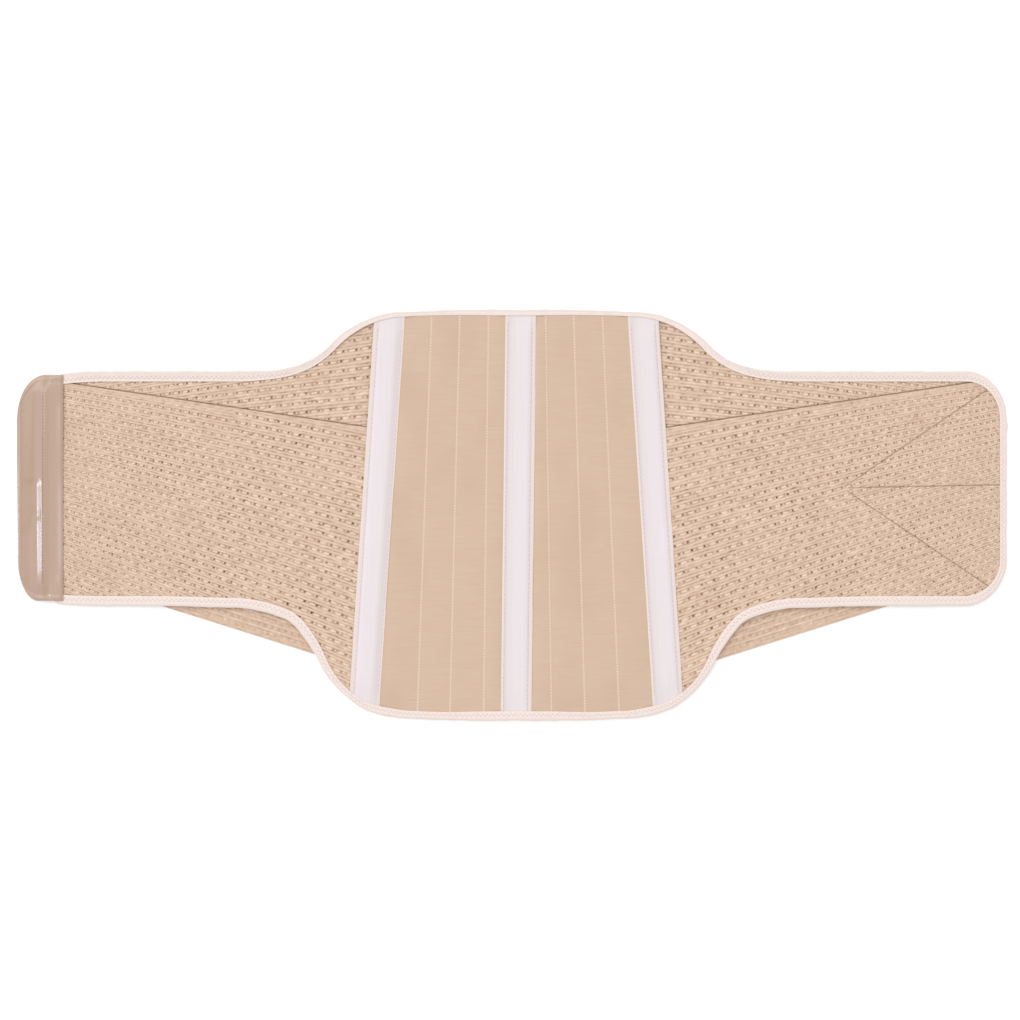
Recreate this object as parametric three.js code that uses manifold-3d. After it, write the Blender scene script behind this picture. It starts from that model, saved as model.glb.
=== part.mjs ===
// A thoracolumbar brace laid open on a flat surface with its body side up.
// Millimetres. X runs along the brace, +Y is its upper edge and +Z is up from the surface.
// The shapes are drawn about the middle of the back, and the last group centres the whole brace.
import * as THREE from "three";
import { mergeVertices } from "three/addons/utils/BufferGeometryUtils.js";
import Module from "manifold-3d";

const wasm = await Module();
wasm.setup();

// Outline of the belt
const FRONT_END_X = 474;
const TAB_END_X = -486;
const BACK_HALF_HEIGHT = 199.2;
const END_CORNER_TOP = { x: 38.8, y: 46 };
const END_CORNER_BOTTOM = { x: 42.7, y: 45 };
const LEFT_CLOTH_END_X = -457;
const LEFT_BINDING_END_X = -451;
const LEFT_END_TAPER = { start: 400, end: 457, top: 4.4, bottom: 2.2 };
const LEFT_END_TURN = { top: 18, bottom: 22, power: 16 };

// Each shoulder falls from the back to the wing: a shallow crown, a convex arc and a concave arc.
// The cloth is not quite even, so each one lies a little further out or in on the left and the right.
const TOP_SHOULDER = {
  crown: 2,
  start: 110.6,
  drop: 57.4,
  steepest: 46,
  convexRadius: 101,
  reach: { left: -1.6, right: 1.1 },
};
const BOTTOM_SHOULDER = {
  crown: 1,
  start: 100.9,
  drop: 110,
  steepest: 65,
  convexRadius: 100.9,
  reach: { left: 2, right: 0 },
};

// Layers, from the surface up
const CLEARANCE = 0.3;
const ELASTIC = 1.3;
const TAPE = 0.7;
const STRAP_Z = 0;
const BINDING_Z = STRAP_Z + ELASTIC + CLEARANCE;
const UPPER_BAND_Z = BINDING_Z + TAPE + CLEARANCE;
const LOWER_BAND_Z = UPPER_BAND_Z + ELASTIC + CLEARANCE;
const STACK_TOP_Z = LOWER_BAND_Z + ELASTIC;
const COVER_Z = STACK_TOP_Z + CLEARANCE;
const CLOTH_INSET = TAPE + 2 * CLEARANCE;

// Edge binding: the visible width of the folded tape changes along the edge,
// between the given distances from the middle of the back.
const BINDING_EDGE_ROUND = 0.9;
const BINDING_WIDTH = {
  backTop: 5.3,
  topShoulder: 6.5,
  wingTop: 10.1,
  frontEnd: 6.3,
  wingBottom: 9.6,
  backBottom: 9.2,
};
const BINDING_CHANGE_D = { back: 90, shoulder: 165, wing: 250 };

// Stations along the outline: the arcs take the most
const BACK_STEPS = 11;
const SHOULDER_STEPS = 14;
const CORNER_STEPS = 7;
const WING_STATIONS = [300, 350, 400, 425];
const LEFT_END_STATIONS = [437, 445, 451];

// Stay casings: x at mid height, and how far x moves for each millimetre up the back
const CASINGS = [
  { name: "left", x: -137.2, lean: 0.0655 },
  { name: "centre", x: 0.5, lean: 0.012 },
  { name: "right", x: 133.8, lean: -0.0645 },
];
const CASING_WIDTH = 29.9;
const CASING_EDGE = 0.8;
const CASING_CROWN = 2.2;
const CASING_TAPER = 16;
const CASING_LIFT_FLAT = 10;
const CASING_LIFT_RAMP = 14;

// Back panels: three sewn lines divide each panel into four padded channels.
const PANEL_LINES = [0.22, 0.45, 0.67];
const CHANNEL_CROWN = 0.9;
const CHANNEL_STEPS = 4;
const CHANNEL_FADE = 14;
const SEAM_GAP = 0.5;

// Heights at which the back panels and the casings have a section, as shares of the back
const BACK_SECTIONS = [0, 0.02, 0.045, 0.08, 0.5, 0.92, 0.955, 0.98, 1];
const CASING_SECTIONS = [-1, -0.86, -0.6, -0.3, 0, 0.3, 0.6, 0.86, 1];

// Wing bands: the two bands of each wing cross at a shallow angle.
const BAND_SLOPE = 0.1475;
const LOWER_BAND_TOP_AT_BACK = 87.3;
const UPPER_BAND_BOTTOM_AT_FRONT = -79.3;
const BAND_BACK_D = 159;
const BAND_FRONT_D = 453;

// Open courses of the knit fan out from the front of each band to the back: a groove for each one
const COURSE_BACK_D = 170;
const COURSE_FRONT_D = 427;
const COURSE_PITCH = { back: 9.2, front: 6.8 };
const LOWER_COURSES = { backY: 68.9, frontY: 119.7, first: -1, last: 29 };
const UPPER_COURSES = { backY: 103.3, frontY: 78.9, first: -8, last: 2 };
const COURSE_GROOVE = { width: 1, depth: 0.35 };

// Darts at the front end of the right wing, as shallow sewn grooves from one point
const DART_POINT = [320.6, 27.2];
const DART_ENDS = [[453.5, 121], [466.5, 30], [453.5, -61]];
const DART_GROOVE = { width: 1.1, depth: 0.5 };

// Tension straps behind the wings
const STRAP_SLOPE = 0.3155;
const STRAP_LOW_D = 204;
const STRAP_LOW_Y = { left: -133, right: -137.2 };
const STRAP_WIDTH = 110;
const STRAP_BACK_D = 127;
const STRAP_FRONT_D = 450;

// Hook tab, draped over the left end of the belt
const TAB_INNER_X = -440.6;
const TAB_TOP_Y = 136;
const TAB_BOTTOM_Y = -83;
const TAB_CORNERS = { top: { x: 27, y: 44 }, bottom: { x: 20, y: 44 } };
const TAB_THICKNESS = 2;
const TAB_RIM = 0.5;
const TAB_RIM_WIDTH = 4;
const TAB_STEP = [
  { x: TAB_INNER_X, z: 0 },
  { x: -459.5, z: 0 },
  { x: -462.5, z: -0.9 },
  { x: -466, z: -2.9 },
  { x: -470, z: -4.3 },
  { x: -477, z: -5.7 },
  { x: TAB_END_X, z: -6.6 },
];

const COLOURS = {
  cloth: "#dabfa9",
  elastic: "#d8bca6",
  strap: "#dcc1ab",
  casing: "#f0e6e8",
  binding: "#f0e1da",
  tab: "#c4a997",
};

const radians = THREE.MathUtils.degToRad;
const { lerp, smoothstep } = THREE.MathUtils;

function finish(colour, roughness) {
  return new THREE.MeshStandardMaterial({ color: colour, roughness, metalness: 0 });
}

function named(name, geometry, material) {
  const mesh = new THREE.Mesh(geometry, material);
  mesh.name = name;
  return mesh;
}

function closedGeometry(positions, index) {
  const geometry = new THREE.BufferGeometry();
  geometry.setAttribute("position", new THREE.Float32BufferAttribute(positions, 3));
  geometry.setIndex(index);
  geometry.computeVertexNormals();
  return geometry;
}

// A closed slab over a grid: place(u, v) gives x, y and the heights of its two faces.
function gridSolid(us, vs, place) {
  const columns = us.length;
  const rows = vs.length;
  const top = [];
  const bottom = [];
  for (const v of vs) {
    for (const u of us) {
      const { x, y, high, low } = place(u, v);
      top.push(x, y, high);
      bottom.push(x, y, low);
    }
  }
  const offset = columns * rows;
  const index = [];
  const at = (i, j) => j * columns + i;
  for (let j = 0; j + 1 < rows; j += 1) {
    for (let i = 0; i + 1 < columns; i += 1) {
      const [a, b, c, d] = [at(i, j), at(i + 1, j), at(i + 1, j + 1), at(i, j + 1)];
      index.push(a, b, c, a, c, d);
      index.push(offset + a, offset + c, offset + b, offset + a, offset + d, offset + c);
    }
  }
  const wall = (a, b) => index.push(a, offset + b, b, a, offset + a, offset + b);
  for (let i = 0; i + 1 < columns; i += 1) {
    wall(at(i, 0), at(i + 1, 0));
    wall(at(i + 1, rows - 1), at(i, rows - 1));
  }
  for (let j = 0; j + 1 < rows; j += 1) {
    wall(at(0, j + 1), at(0, j));
    wall(at(columns - 1, j), at(columns - 1, j + 1));
  }
  return closedGeometry([...top, ...bottom], index);
}

// A closed bar through rings of equal length, each ring a list of points
function loft(rings) {
  const size = rings[0].length;
  const positions = rings.flat().flatMap((point) => [point.x, point.y, point.z]);
  const index = [];
  for (let i = 0; i + 1 < rings.length; i += 1) {
    for (let k = 0; k < size; k += 1) {
      const a = i * size + k;
      const b = i * size + ((k + 1) % size);
      index.push(a, b, b + size, a, b + size, a + size);
    }
  }
  return { positions, index, size };
}

function evenly(count) {
  return Array.from({ length: count + 1 }, (_, i) => i / count);
}

const sideOf = (x) => (x < 0 ? "left" : "right");

// How far the outline has fallen from the back towards the wing, at x
function shoulderFall(shoulder, x) {
  const d = Math.max(0, Math.abs(x) - shoulder.reach[sideOf(x)]);
  const angle = radians(shoulder.steepest);
  const bothRadii = shoulder.drop / (1 - Math.cos(angle));
  const concaveRadius = bothRadii - shoulder.convexRadius;
  const end = shoulder.start + bothRadii * Math.sin(angle);
  const turn = shoulder.start + shoulder.convexRadius * Math.sin(angle);
  const crown = shoulder.crown * Math.min(1, d / shoulder.start) ** 2;
  if (d <= shoulder.start) return crown;
  if (d >= end) return crown + shoulder.drop;
  if (d <= turn) {
    const run = d - shoulder.start;
    return crown + shoulder.convexRadius - Math.sqrt(shoulder.convexRadius ** 2 - run ** 2);
  }
  const left = end - d;
  return crown + shoulder.drop - concaveRadius + Math.sqrt(concaveRadius ** 2 - left ** 2);
}

// The long edges draw in a little towards the left end and turn in at its corners, under the tab.
function endTaper(x, edge) {
  const into = Math.max(0, -x - LEFT_END_TAPER.start) / (LEFT_END_TAPER.end - LEFT_END_TAPER.start);
  return LEFT_END_TAPER[edge] * into ** 2 + LEFT_END_TURN[edge] * into ** LEFT_END_TURN.power;
}

function topEdge(x) {
  return BACK_HALF_HEIGHT - shoulderFall(TOP_SHOULDER, x) - endTaper(x, "top");
}

function bottomEdge(x) {
  return shoulderFall(BOTTOM_SHOULDER, x) + endTaper(x, "bottom") - BACK_HALF_HEIGHT;
}

// Distances from the middle at which the outline is drawn on one side, closest together on the arcs
function shoulderStations(shoulder, side) {
  const angle = radians(shoulder.steepest);
  const bothRadii = shoulder.drop / (1 - Math.cos(angle));
  const run = bothRadii * Math.sin(angle);
  const start = shoulder.start + shoulder.reach[side];
  const across = evenly(BACK_STEPS).slice(0, -1).map((t) => start * t);
  return [...across, ...evenly(SHOULDER_STEPS).map((t) => start + run * t)];
}

function bindingWidth(from, to, t) {
  return lerp(BINDING_WIDTH[from], BINDING_WIDTH[to], smoothstep(t, 0, 1));
}

// The width of the binding at distance d from the middle of the upper or lower edge
function topBindingWidth(d) {
  const { back, shoulder, wing } = BINDING_CHANGE_D;
  if (d < shoulder) return bindingWidth("backTop", "topShoulder", (d - back) / (shoulder - back));
  return bindingWidth("topShoulder", "wingTop", (d - shoulder) / (wing - shoulder));
}

function bottomBindingWidth(d) {
  const { back, wing } = BINDING_CHANGE_D;
  return bindingWidth("backBottom", "wingBottom", (d - back) / (wing - back));
}

// The outer edge as a list of stations, clockwise from the upper left to the lower left
function edgeStations(leftEnd) {
  const wingTop = topEdge(FRONT_END_X);
  const wingBottom = bottomEdge(FRONT_END_X);
  const leftStations = [...WING_STATIONS, ...LEFT_END_STATIONS.filter((d) => d < -leftEnd)];
  const stations = [];
  const add = (x, y, width) => stations.push({ x, y, width });
  const addTop = (x) => add(x, topEdge(x), topBindingWidth(Math.abs(x)));
  const addBottom = (x) => add(x, bottomEdge(x), bottomBindingWidth(Math.abs(x)));
  addTop(leftEnd);
  [...shoulderStations(TOP_SHOULDER, "left"), ...leftStations].reverse().forEach((d) => addTop(-d));
  [...shoulderStations(TOP_SHOULDER, "right").slice(1), ...WING_STATIONS].forEach((d) => addTop(d));
  for (const t of evenly(CORNER_STEPS)) {
    const turn = radians(90 * (1 - t));
    const x = FRONT_END_X - END_CORNER_TOP.x * (1 - Math.cos(turn));
    const y = wingTop - END_CORNER_TOP.y * (1 - Math.sin(turn));
    add(x, y, bindingWidth("wingTop", "frontEnd", t));
  }
  add(FRONT_END_X, (wingTop + wingBottom) / 2, BINDING_WIDTH.frontEnd);
  for (const t of evenly(CORNER_STEPS)) {
    const turn = radians(90 * t);
    const x = FRONT_END_X - END_CORNER_BOTTOM.x * (1 - Math.cos(turn));
    const y = wingBottom + END_CORNER_BOTTOM.y * (1 - Math.sin(turn));
    add(x, y, bindingWidth("frontEnd", "wingBottom", t));
  }
  [...shoulderStations(BOTTOM_SHOULDER, "right"), ...WING_STATIONS].reverse().forEach((d) => addBottom(d));
  [...shoulderStations(BOTTOM_SHOULDER, "left").slice(1), ...leftStations].forEach((d) => addBottom(-d));
  addBottom(leftEnd);
  return withNormals(stations);
}

// Each station with the unit vector that points from the edge into the cloth
function withNormals(stations) {
  const last = stations.length - 1;
  return stations.map((station, i) => {
    const before = stations[Math.max(0, i - 1)];
    const after = stations[Math.min(last, i + 1)];
    const along = new THREE.Vector2(after.x - before.x, after.y - before.y).normalize();
    return { ...station, inX: along.y, inY: -along.x };
  });
}

function inset(station, distance) {
  return new THREE.Vector2(station.x + station.inX * distance, station.y + station.inY * distance);
}

function casingX(casing, y) {
  return casing.x + casing.lean * y;
}

// Where a casing passes under the binding, the tape rises over its end.
function casingLift(station) {
  const rise = CASING_EDGE + CLEARANCE;
  const flat = CASING_WIDTH / 2 + CASING_LIFT_FLAT;
  const lifts = CASINGS.map((casing) => {
    const away = Math.abs(station.x - casingX(casing, station.y));
    return rise * (1 - smoothstep(away, flat, flat + CASING_LIFT_RAMP));
  });
  return Math.max(...lifts);
}

// The folded tape: a U laid on its side, open towards the cloth
function bindingRing(station) {
  const low = BINDING_Z;
  const high = COVER_Z + TAPE + casingLift(station);
  const round = BINDING_EDGE_ROUND;
  const { width } = station;
  const section = [
    [width, low],
    [round, low],
    [0, low + round],
    [0, high - round],
    [round, high],
    [width, high],
    [width, high - TAPE],
    [TAPE, high - TAPE],
    [TAPE, low + TAPE],
    [width, low + TAPE],
  ];
  return section.map(([depth, z]) => {
    const place = inset(station, depth);
    return new THREE.Vector3(place.x, place.y, z);
  });
}

function edgeBinding() {
  const rings = edgeStations(LEFT_BINDING_END_X).map(bindingRing);
  const { positions, index, size } = loft(rings);
  const section = rings[0].map((point) => new THREE.Vector2(-point.y, point.z));
  const caps = THREE.ShapeUtils.triangulateShape(section, []);
  const lastRing = (rings.length - 1) * size;
  for (const [a, b, c] of caps) {
    index.push(a, b, c);
    index.push(lastRing + a, lastRing + c, lastRing + b);
  }
  return closedGeometry(positions, index);
}

function extruded(points, low, high) {
  const shape = new THREE.Shape(points);
  const geometry = new THREE.ExtrudeGeometry(shape, { depth: high - low, bevelEnabled: false });
  geometry.translate(0, 0, low);
  return geometry;
}

function solidOf(geometry) {
  const bare = geometry.clone();
  bare.deleteAttribute("normal");
  bare.deleteAttribute("uv");
  const merged = mergeVertices(bare, 1e-4);
  return new wasm.Manifold(new wasm.Mesh({
    numProp: 3,
    vertProperties: merged.attributes.position.array,
    triVerts: new Uint32Array(merged.index.array),
  }));
}

function geometryOf(solid) {
  const mesh = solid.getMesh();
  return closedGeometry(Array.from(mesh.vertProperties), Array.from(mesh.triVerts));
}

// The cloth of the whole belt at one level, cut back far enough to lie inside the binding
function clothPlate(low) {
  const outline = edgeStations(LEFT_CLOTH_END_X).map((station) => inset(station, CLOTH_INSET));
  return solidOf(extruded(outline, low, low + ELASTIC));
}

// One band of elastic: the part of the cloth beyond a casing, above or below a sloping line
function wingBand(side, low, lineY, keepBelow) {
  const far = FRONT_END_X + 20;
  const beyond = BACK_HALF_HEIGHT + 20;
  const casing = CASINGS.find((row) => row.name === side.name);
  const seamX = (y) => casingX(casing, y) + side.sign * SEAM_GAP;
  const level = keepBelow ? -beyond : beyond;
  const innerY = lineY(Math.abs(casing.x));
  const region = [
    new THREE.Vector2(seamX(innerY), innerY),
    new THREE.Vector2(side.sign * far, lineY(far)),
    new THREE.Vector2(side.sign * far, level),
    new THREE.Vector2(seamX(level), level),
  ];
  const cutter = solidOf(extruded(region, low - 1, low + ELASTIC + 1));
  return clothPlate(low).intersect(cutter);
}

const lowerBandTop = (d) => LOWER_BAND_TOP_AT_BACK + BAND_SLOPE * (d - BAND_BACK_D);
const upperBandBottom = (d) => UPPER_BAND_BOTTOM_AT_FRONT + BAND_SLOPE * (BAND_FRONT_D - d);

// A shallow groove along a straight line, cut down from the level of a band's upper face
function groove(from, to, level, { width, depth }) {
  const start = new THREE.Vector2(...from);
  const end = new THREE.Vector2(...to);
  const across = end.clone().sub(start).normalize();
  across.set(-across.y, across.x).multiplyScalar(width / 2);
  const strip = [
    start.clone().add(across),
    start.clone().sub(across),
    end.clone().sub(across),
    end.clone().add(across),
  ];
  return solidOf(extruded(strip, level - depth, level + 1));
}

// The grooves of one band's open courses, each a straight line from the casing to the front end
function courseGrooves(side, courses, level) {
  const slopeOf = (row) => {
    const rise = courses.frontY - courses.backY + row * (COURSE_PITCH.back - COURSE_PITCH.front);
    return rise / (COURSE_FRONT_D - COURSE_BACK_D);
  };
  const cuts = [];
  for (let row = courses.first; row <= courses.last; row += 1) {
    const backY = courses.backY - row * COURSE_PITCH.back;
    const at = (d) => [side.sign * d, backY + slopeOf(row) * (d - COURSE_BACK_D)];
    cuts.push(groove(at(STRAP_BACK_D), at(FRONT_END_X), level, COURSE_GROOVE));
  }
  return cuts;
}

function lowerBand(side) {
  const cuts = courseGrooves(side, LOWER_COURSES, STACK_TOP_Z);
  if (side.darts) {
    DART_ENDS.forEach((end) => cuts.push(groove(DART_POINT, end, STACK_TOP_Z, DART_GROOVE)));
  }
  const band = wingBand(side, LOWER_BAND_Z, lowerBandTop, true);
  return geometryOf(cuts.reduce((cloth, cut) => cloth.subtract(cut), band));
}

function upperBand(side) {
  const cuts = courseGrooves(side, UPPER_COURSES, UPPER_BAND_Z + ELASTIC);
  const band = wingBand(side, UPPER_BAND_Z, upperBandBottom, false);
  return geometryOf(cuts.reduce((cloth, cut) => cloth.subtract(cut), band));
}

// A strap that slants up from under the side casing to the front of the wing
function tensionStrap(side) {
  const lowY = (d) => STRAP_LOW_Y[side.name] + STRAP_SLOPE * (d - STRAP_LOW_D);
  const tall = STRAP_WIDTH * Math.hypot(1, STRAP_SLOPE);
  const corners = [
    [STRAP_BACK_D, lowY(STRAP_BACK_D)],
    [STRAP_FRONT_D, lowY(STRAP_FRONT_D)],
    [STRAP_FRONT_D, lowY(STRAP_FRONT_D) + tall],
    [STRAP_BACK_D, lowY(STRAP_BACK_D) + tall],
  ].map(([d, y]) => new THREE.Vector2(side.sign * d, y));
  return extruded(corners, STRAP_Z, STRAP_Z + ELASTIC);
}

// The height at which a leaning line, whose x is a function of y, comes within a distance of the edge.
// The lines are nearly upright, so a few passes settle it.
function edgeAlong(lineX, edge, insetBy) {
  const passes = 6;
  const inwards = -Math.sign(edge(0));
  let y = 0;
  for (let pass = 0; pass < passes; pass += 1) y = edge(lineX(y)) + inwards * insetBy;
  return y;
}

// One half of the back, from the middle casing to a side casing, swelling between its sewn lines
function backPanel(side) {
  const inner = CASINGS.find((row) => row.name === "centre");
  const outer = CASINGS.find((row) => row.name === side.name);
  const covered = (CASING_WIDTH / 2) / Math.abs(outer.x - inner.x);
  const seams = [covered, ...PANEL_LINES, 1 - covered];
  const inside = evenly(CHANNEL_STEPS).slice(1, -1);
  const us = [0, seams[0]];
  for (let k = 0; k + 1 < seams.length; k += 1) {
    inside.forEach((t) => us.push(lerp(seams[k], seams[k + 1], t)));
    us.push(seams[k + 1]);
  }
  us.push(1);
  const swell = (u) => {
    const k = seams.findIndex((seam, i) => u > seam && u < seams[i + 1]);
    if (k < 0) return 0;
    const t = (u - seams[k]) / (seams[k + 1] - seams[k]);
    return CHANNEL_CROWN * Math.sqrt(4 * t * (1 - t));
  };
  const lineX = (u) => (y) => {
    const from = casingX(inner, y) + side.sign * SEAM_GAP;
    const to = casingX(outer, y) - side.sign * SEAM_GAP;
    return lerp(from, to, u);
  };
  const bound = BINDING_WIDTH.backBottom;
  const place = (u, v) => {
    const x = lineX(u);
    const low = edgeAlong(x, bottomEdge, CLOTH_INSET + CLEARANCE);
    const high = edgeAlong(x, topEdge, CLOTH_INSET + CLEARANCE);
    const y = lerp(low, high, v);
    const toEdge = Math.min(y - low, high - y);
    const fade = smoothstep(toEdge, bound, bound + CHANNEL_FADE);
    return { x: x(y), y, low: UPPER_BAND_Z, high: STACK_TOP_Z + swell(u) * fade };
  };
  const columns = side.sign > 0 ? us : us.slice().reverse();
  return gridSolid(columns, BACK_SECTIONS, place);
}

// A woven tape with a stay inside: crowned across, and thinner where its ends pass under the binding
function stayCasing(casing) {
  const bound = BINDING_WIDTH.backBottom;
  const place = (u, v) => {
    const lineX = (y) => casingX(casing, y) + (u * CASING_WIDTH) / 2;
    const low = edgeAlong(lineX, bottomEdge, CLOTH_INSET + CLEARANCE);
    const high = edgeAlong(lineX, topEdge, CLOTH_INSET + CLEARANCE);
    const y = lerp(low, high, v);
    const toEdge = Math.min(y - low, high - y);
    const fade = smoothstep(toEdge, bound, bound + CASING_TAPER);
    const crown = (CASING_CROWN - CASING_EDGE) * Math.sqrt(Math.max(0, 1 - u * u)) * fade;
    return { x: lineX(y), y, low: COVER_Z, high: COVER_Z + CASING_EDGE + crown };
  };
  return gridSolid(CASING_SECTIONS, BACK_SECTIONS, place);
}

// The hook tab: flat on the belt, then down over its end to the surface, with a rim on three sides
function hookTab() {
  const base = COVER_Z + TAPE + CLEARANCE;
  const rimColumns = [TAB_END_X + TAB_RIM_WIDTH, TAB_END_X + TAB_RIM_WIDTH + 1];
  const widest = TAB_CORNERS.top.x;
  const cornerColumns = evenly(CORNER_STEPS).map((t) => TAB_END_X + widest * (1 - Math.cos(radians(90 * t))));
  const xs = [...TAB_STEP.map((row) => row.x), ...rimColumns, ...cornerColumns].sort((a, b) => a - b);
  const columns = xs.filter((x, i) => i === 0 || x - xs[i - 1] > 0.2);
  const drape = (x) => {
    const k = Math.max(1, TAB_STEP.findIndex((row) => row.x <= x));
    const [from, to] = [TAB_STEP[k - 1], TAB_STEP[k]];
    return lerp(from.z, to.z, (x - from.x) / (to.x - from.x));
  };
  const cut = (corner, x) => {
    const into = THREE.MathUtils.clamp((TAB_END_X + corner.x - x) / corner.x, 0, 1);
    return corner.y * (1 - Math.sqrt(1 - into ** 2));
  };
  const ends = [0, 1, TAB_RIM_WIDTH, TAB_RIM_WIDTH + 1];
  const rows = [
    ...ends.map((y) => ({ from: TAB_BOTTOM_Y, sign: 1, y, corner: TAB_CORNERS.bottom })),
    { from: (TAB_TOP_Y + TAB_BOTTOM_Y) / 2, sign: 0, y: TAB_CORNERS.top.y, corner: TAB_CORNERS.top },
    ...ends.slice().reverse().map((y) => ({ from: TAB_TOP_Y, sign: -1, y, corner: TAB_CORNERS.top })),
  ];
  const place = (x, row) => {
    const y = row.from + row.sign * (cut(row.corner, x) + row.y);
    const rim = Math.min(row.y, x - TAB_END_X) <= TAB_RIM_WIDTH ? TAB_RIM : 0;
    const low = base + drape(x);
    return { x, y, low, high: low + TAB_THICKNESS + rim };
  };
  return gridSolid(columns, rows, place);
}

function buildBrace() {
  const cloth = finish(COLOURS.cloth, 0.9);
  const elastic = finish(COLOURS.elastic, 0.95);
  const strap = finish(COLOURS.strap, 0.95);
  const casingTape = finish(COLOURS.casing, 0.8);
  const bindingTape = finish(COLOURS.binding, 0.85);
  const hook = finish(COLOURS.tab, 0.45);
  const sides = [
    { name: "left", sign: -1, darts: false },
    { name: "right", sign: 1, darts: true },
  ];
  const belt = new THREE.Group();
  for (const side of sides) {
    belt.add(named(`tension_strap_${side.name}`, tensionStrap(side), strap));
    belt.add(named(`wing_${side.name}_upper_band`, upperBand(side), elastic));
    belt.add(named(`wing_${side.name}_lower_band`, lowerBand(side), elastic));
    belt.add(named(`back_panel_${side.name}`, backPanel(side), cloth));
  }
  for (const casing of CASINGS) {
    belt.add(named(`stay_casing_${casing.name}`, stayCasing(casing), casingTape));
  }
  belt.add(named("edge_binding", edgeBinding(), bindingTape));
  belt.add(named("hook_tab", hookTab(), hook));
  belt.position.x = -(FRONT_END_X + TAB_END_X) / 2;
  const brace = new THREE.Group();
  brace.add(belt);
  return brace;
}

export default buildBrace();
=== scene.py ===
"""Looks of a thoracolumbar brace that lies open on a pale floor with its body side up.

Lengths are millimetres, drawn about the middle of the back: X along the brace, +Y its upper edge and
+Z up from the floor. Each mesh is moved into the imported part's frame, in metres, as it is made.
"""

from __future__ import annotations

import logging
import math
from collections.abc import Callable
from dataclasses import dataclass, field, replace
from enum import Enum

import bpy
import numpy as np
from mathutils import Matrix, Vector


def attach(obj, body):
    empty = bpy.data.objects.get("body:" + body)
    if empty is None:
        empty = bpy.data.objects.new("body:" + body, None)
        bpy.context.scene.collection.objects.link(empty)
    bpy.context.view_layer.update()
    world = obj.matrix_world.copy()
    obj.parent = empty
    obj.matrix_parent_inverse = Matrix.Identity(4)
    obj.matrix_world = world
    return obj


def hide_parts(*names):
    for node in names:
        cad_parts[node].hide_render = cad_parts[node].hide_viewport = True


LOG = logging.getLogger("brace")
Array = np.ndarray
Pair = tuple[float, float]
Triple = tuple[float, float, float]
Colour = tuple[float, float, float, float]
Table = tuple[Pair, ...]
Run = tuple[Array, Array]
Material = bpy.types.Material
Socket = bpy.types.NodeSocket
Pattern = tuple[Socket, Socket]
Piece = bpy.types.Object

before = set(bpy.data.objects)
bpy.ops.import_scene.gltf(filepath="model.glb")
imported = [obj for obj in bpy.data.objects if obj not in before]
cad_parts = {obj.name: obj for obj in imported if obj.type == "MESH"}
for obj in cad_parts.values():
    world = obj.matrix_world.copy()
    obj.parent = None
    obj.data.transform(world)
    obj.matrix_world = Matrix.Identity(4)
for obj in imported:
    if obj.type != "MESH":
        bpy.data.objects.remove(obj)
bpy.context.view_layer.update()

MM = 0.001
FRAME_SHIFT = np.array([6.0, 0.0, 0.0])

# Levels of the layers above the floor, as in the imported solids
STRAP_Z = 0.0
BINDING_Z = 1.6
UPPER_BAND_Z = 2.6
LOWER_BAND_Z = 4.2
STACK_TOP_Z = 5.5
COVER_Z = 5.8
TAPE = 0.7
CLEARANCE = 0.3
CLOTH_INSET = 1.3
# How far from their ends the pieces of the back stay flat under the binding
BINDING_COVER = 8.6
# A distance at which no sewn line shows, and how fast the distance grows past a line's end
FAR = 99.0
LINE_STOP = 4.0
# The angle past which an edge of a mesh stays sharp
CREASE_DEGREES = 75.0
# Points in the ring round each hole of the knit
RING = 8
WHITE = (1.0, 1.0, 1.0, 1.0)
# The length of one wave of the wave texture at scale 1, which is 2 pi / 20
WAVE_LENGTH = 0.314


class Side(Enum):
    """The wing that a piece belongs to, with the sign of its X."""

    LEFT = -1
    RIGHT = 1

    @property
    def label(self) -> str:
        """The side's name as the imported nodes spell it."""
        return self.name.lower()


class Hold(Enum):
    LAID = "laid"
    FOLDED = "folded"
    DRAPED = "draped"


def srgb(code: str) -> Colour:
    """Turn an sRGB hex code into a linear colour.

    Args:
        code: The colour as "#rrggbb".

    Returns:
        Red, green, blue and a full alpha.
    """
    channels = np.array([int(code[i : i + 2], 16) for i in (1, 3, 5)]) / 255.0
    linear = np.where(channels <= 0.04045, channels / 12.92, ((channels + 0.055) / 1.055) ** 2.4)
    return (*linear.tolist(), 1.0)


def smoothstep(value: Array, low: float, high: float) -> Array:
    """Rise smoothly from 0 at low to 1 at high.

    Args:
        value: Where to read the step.
        low: The value at which it starts.
        high: The value at which it ends.

    Returns:
        The step's height, from 0 to 1.
    """
    t = np.clip((np.asarray(value, float) - low) / (high - low), 0.0, 1.0)
    return t * t * (3.0 - 2.0 * t)


def mix(a: Array, b: Array, share: Array) -> Array:
    """Blend from a at share 0 to b at share 1."""
    return a + (b - a) * share


def bell(value: Array, middle: float, width: float) -> Array:
    """A bell of height 1: the exponential of minus the square of the widths from its middle."""
    return np.exp(-(((value - middle) / width) ** 2))


# Meshes


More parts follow.
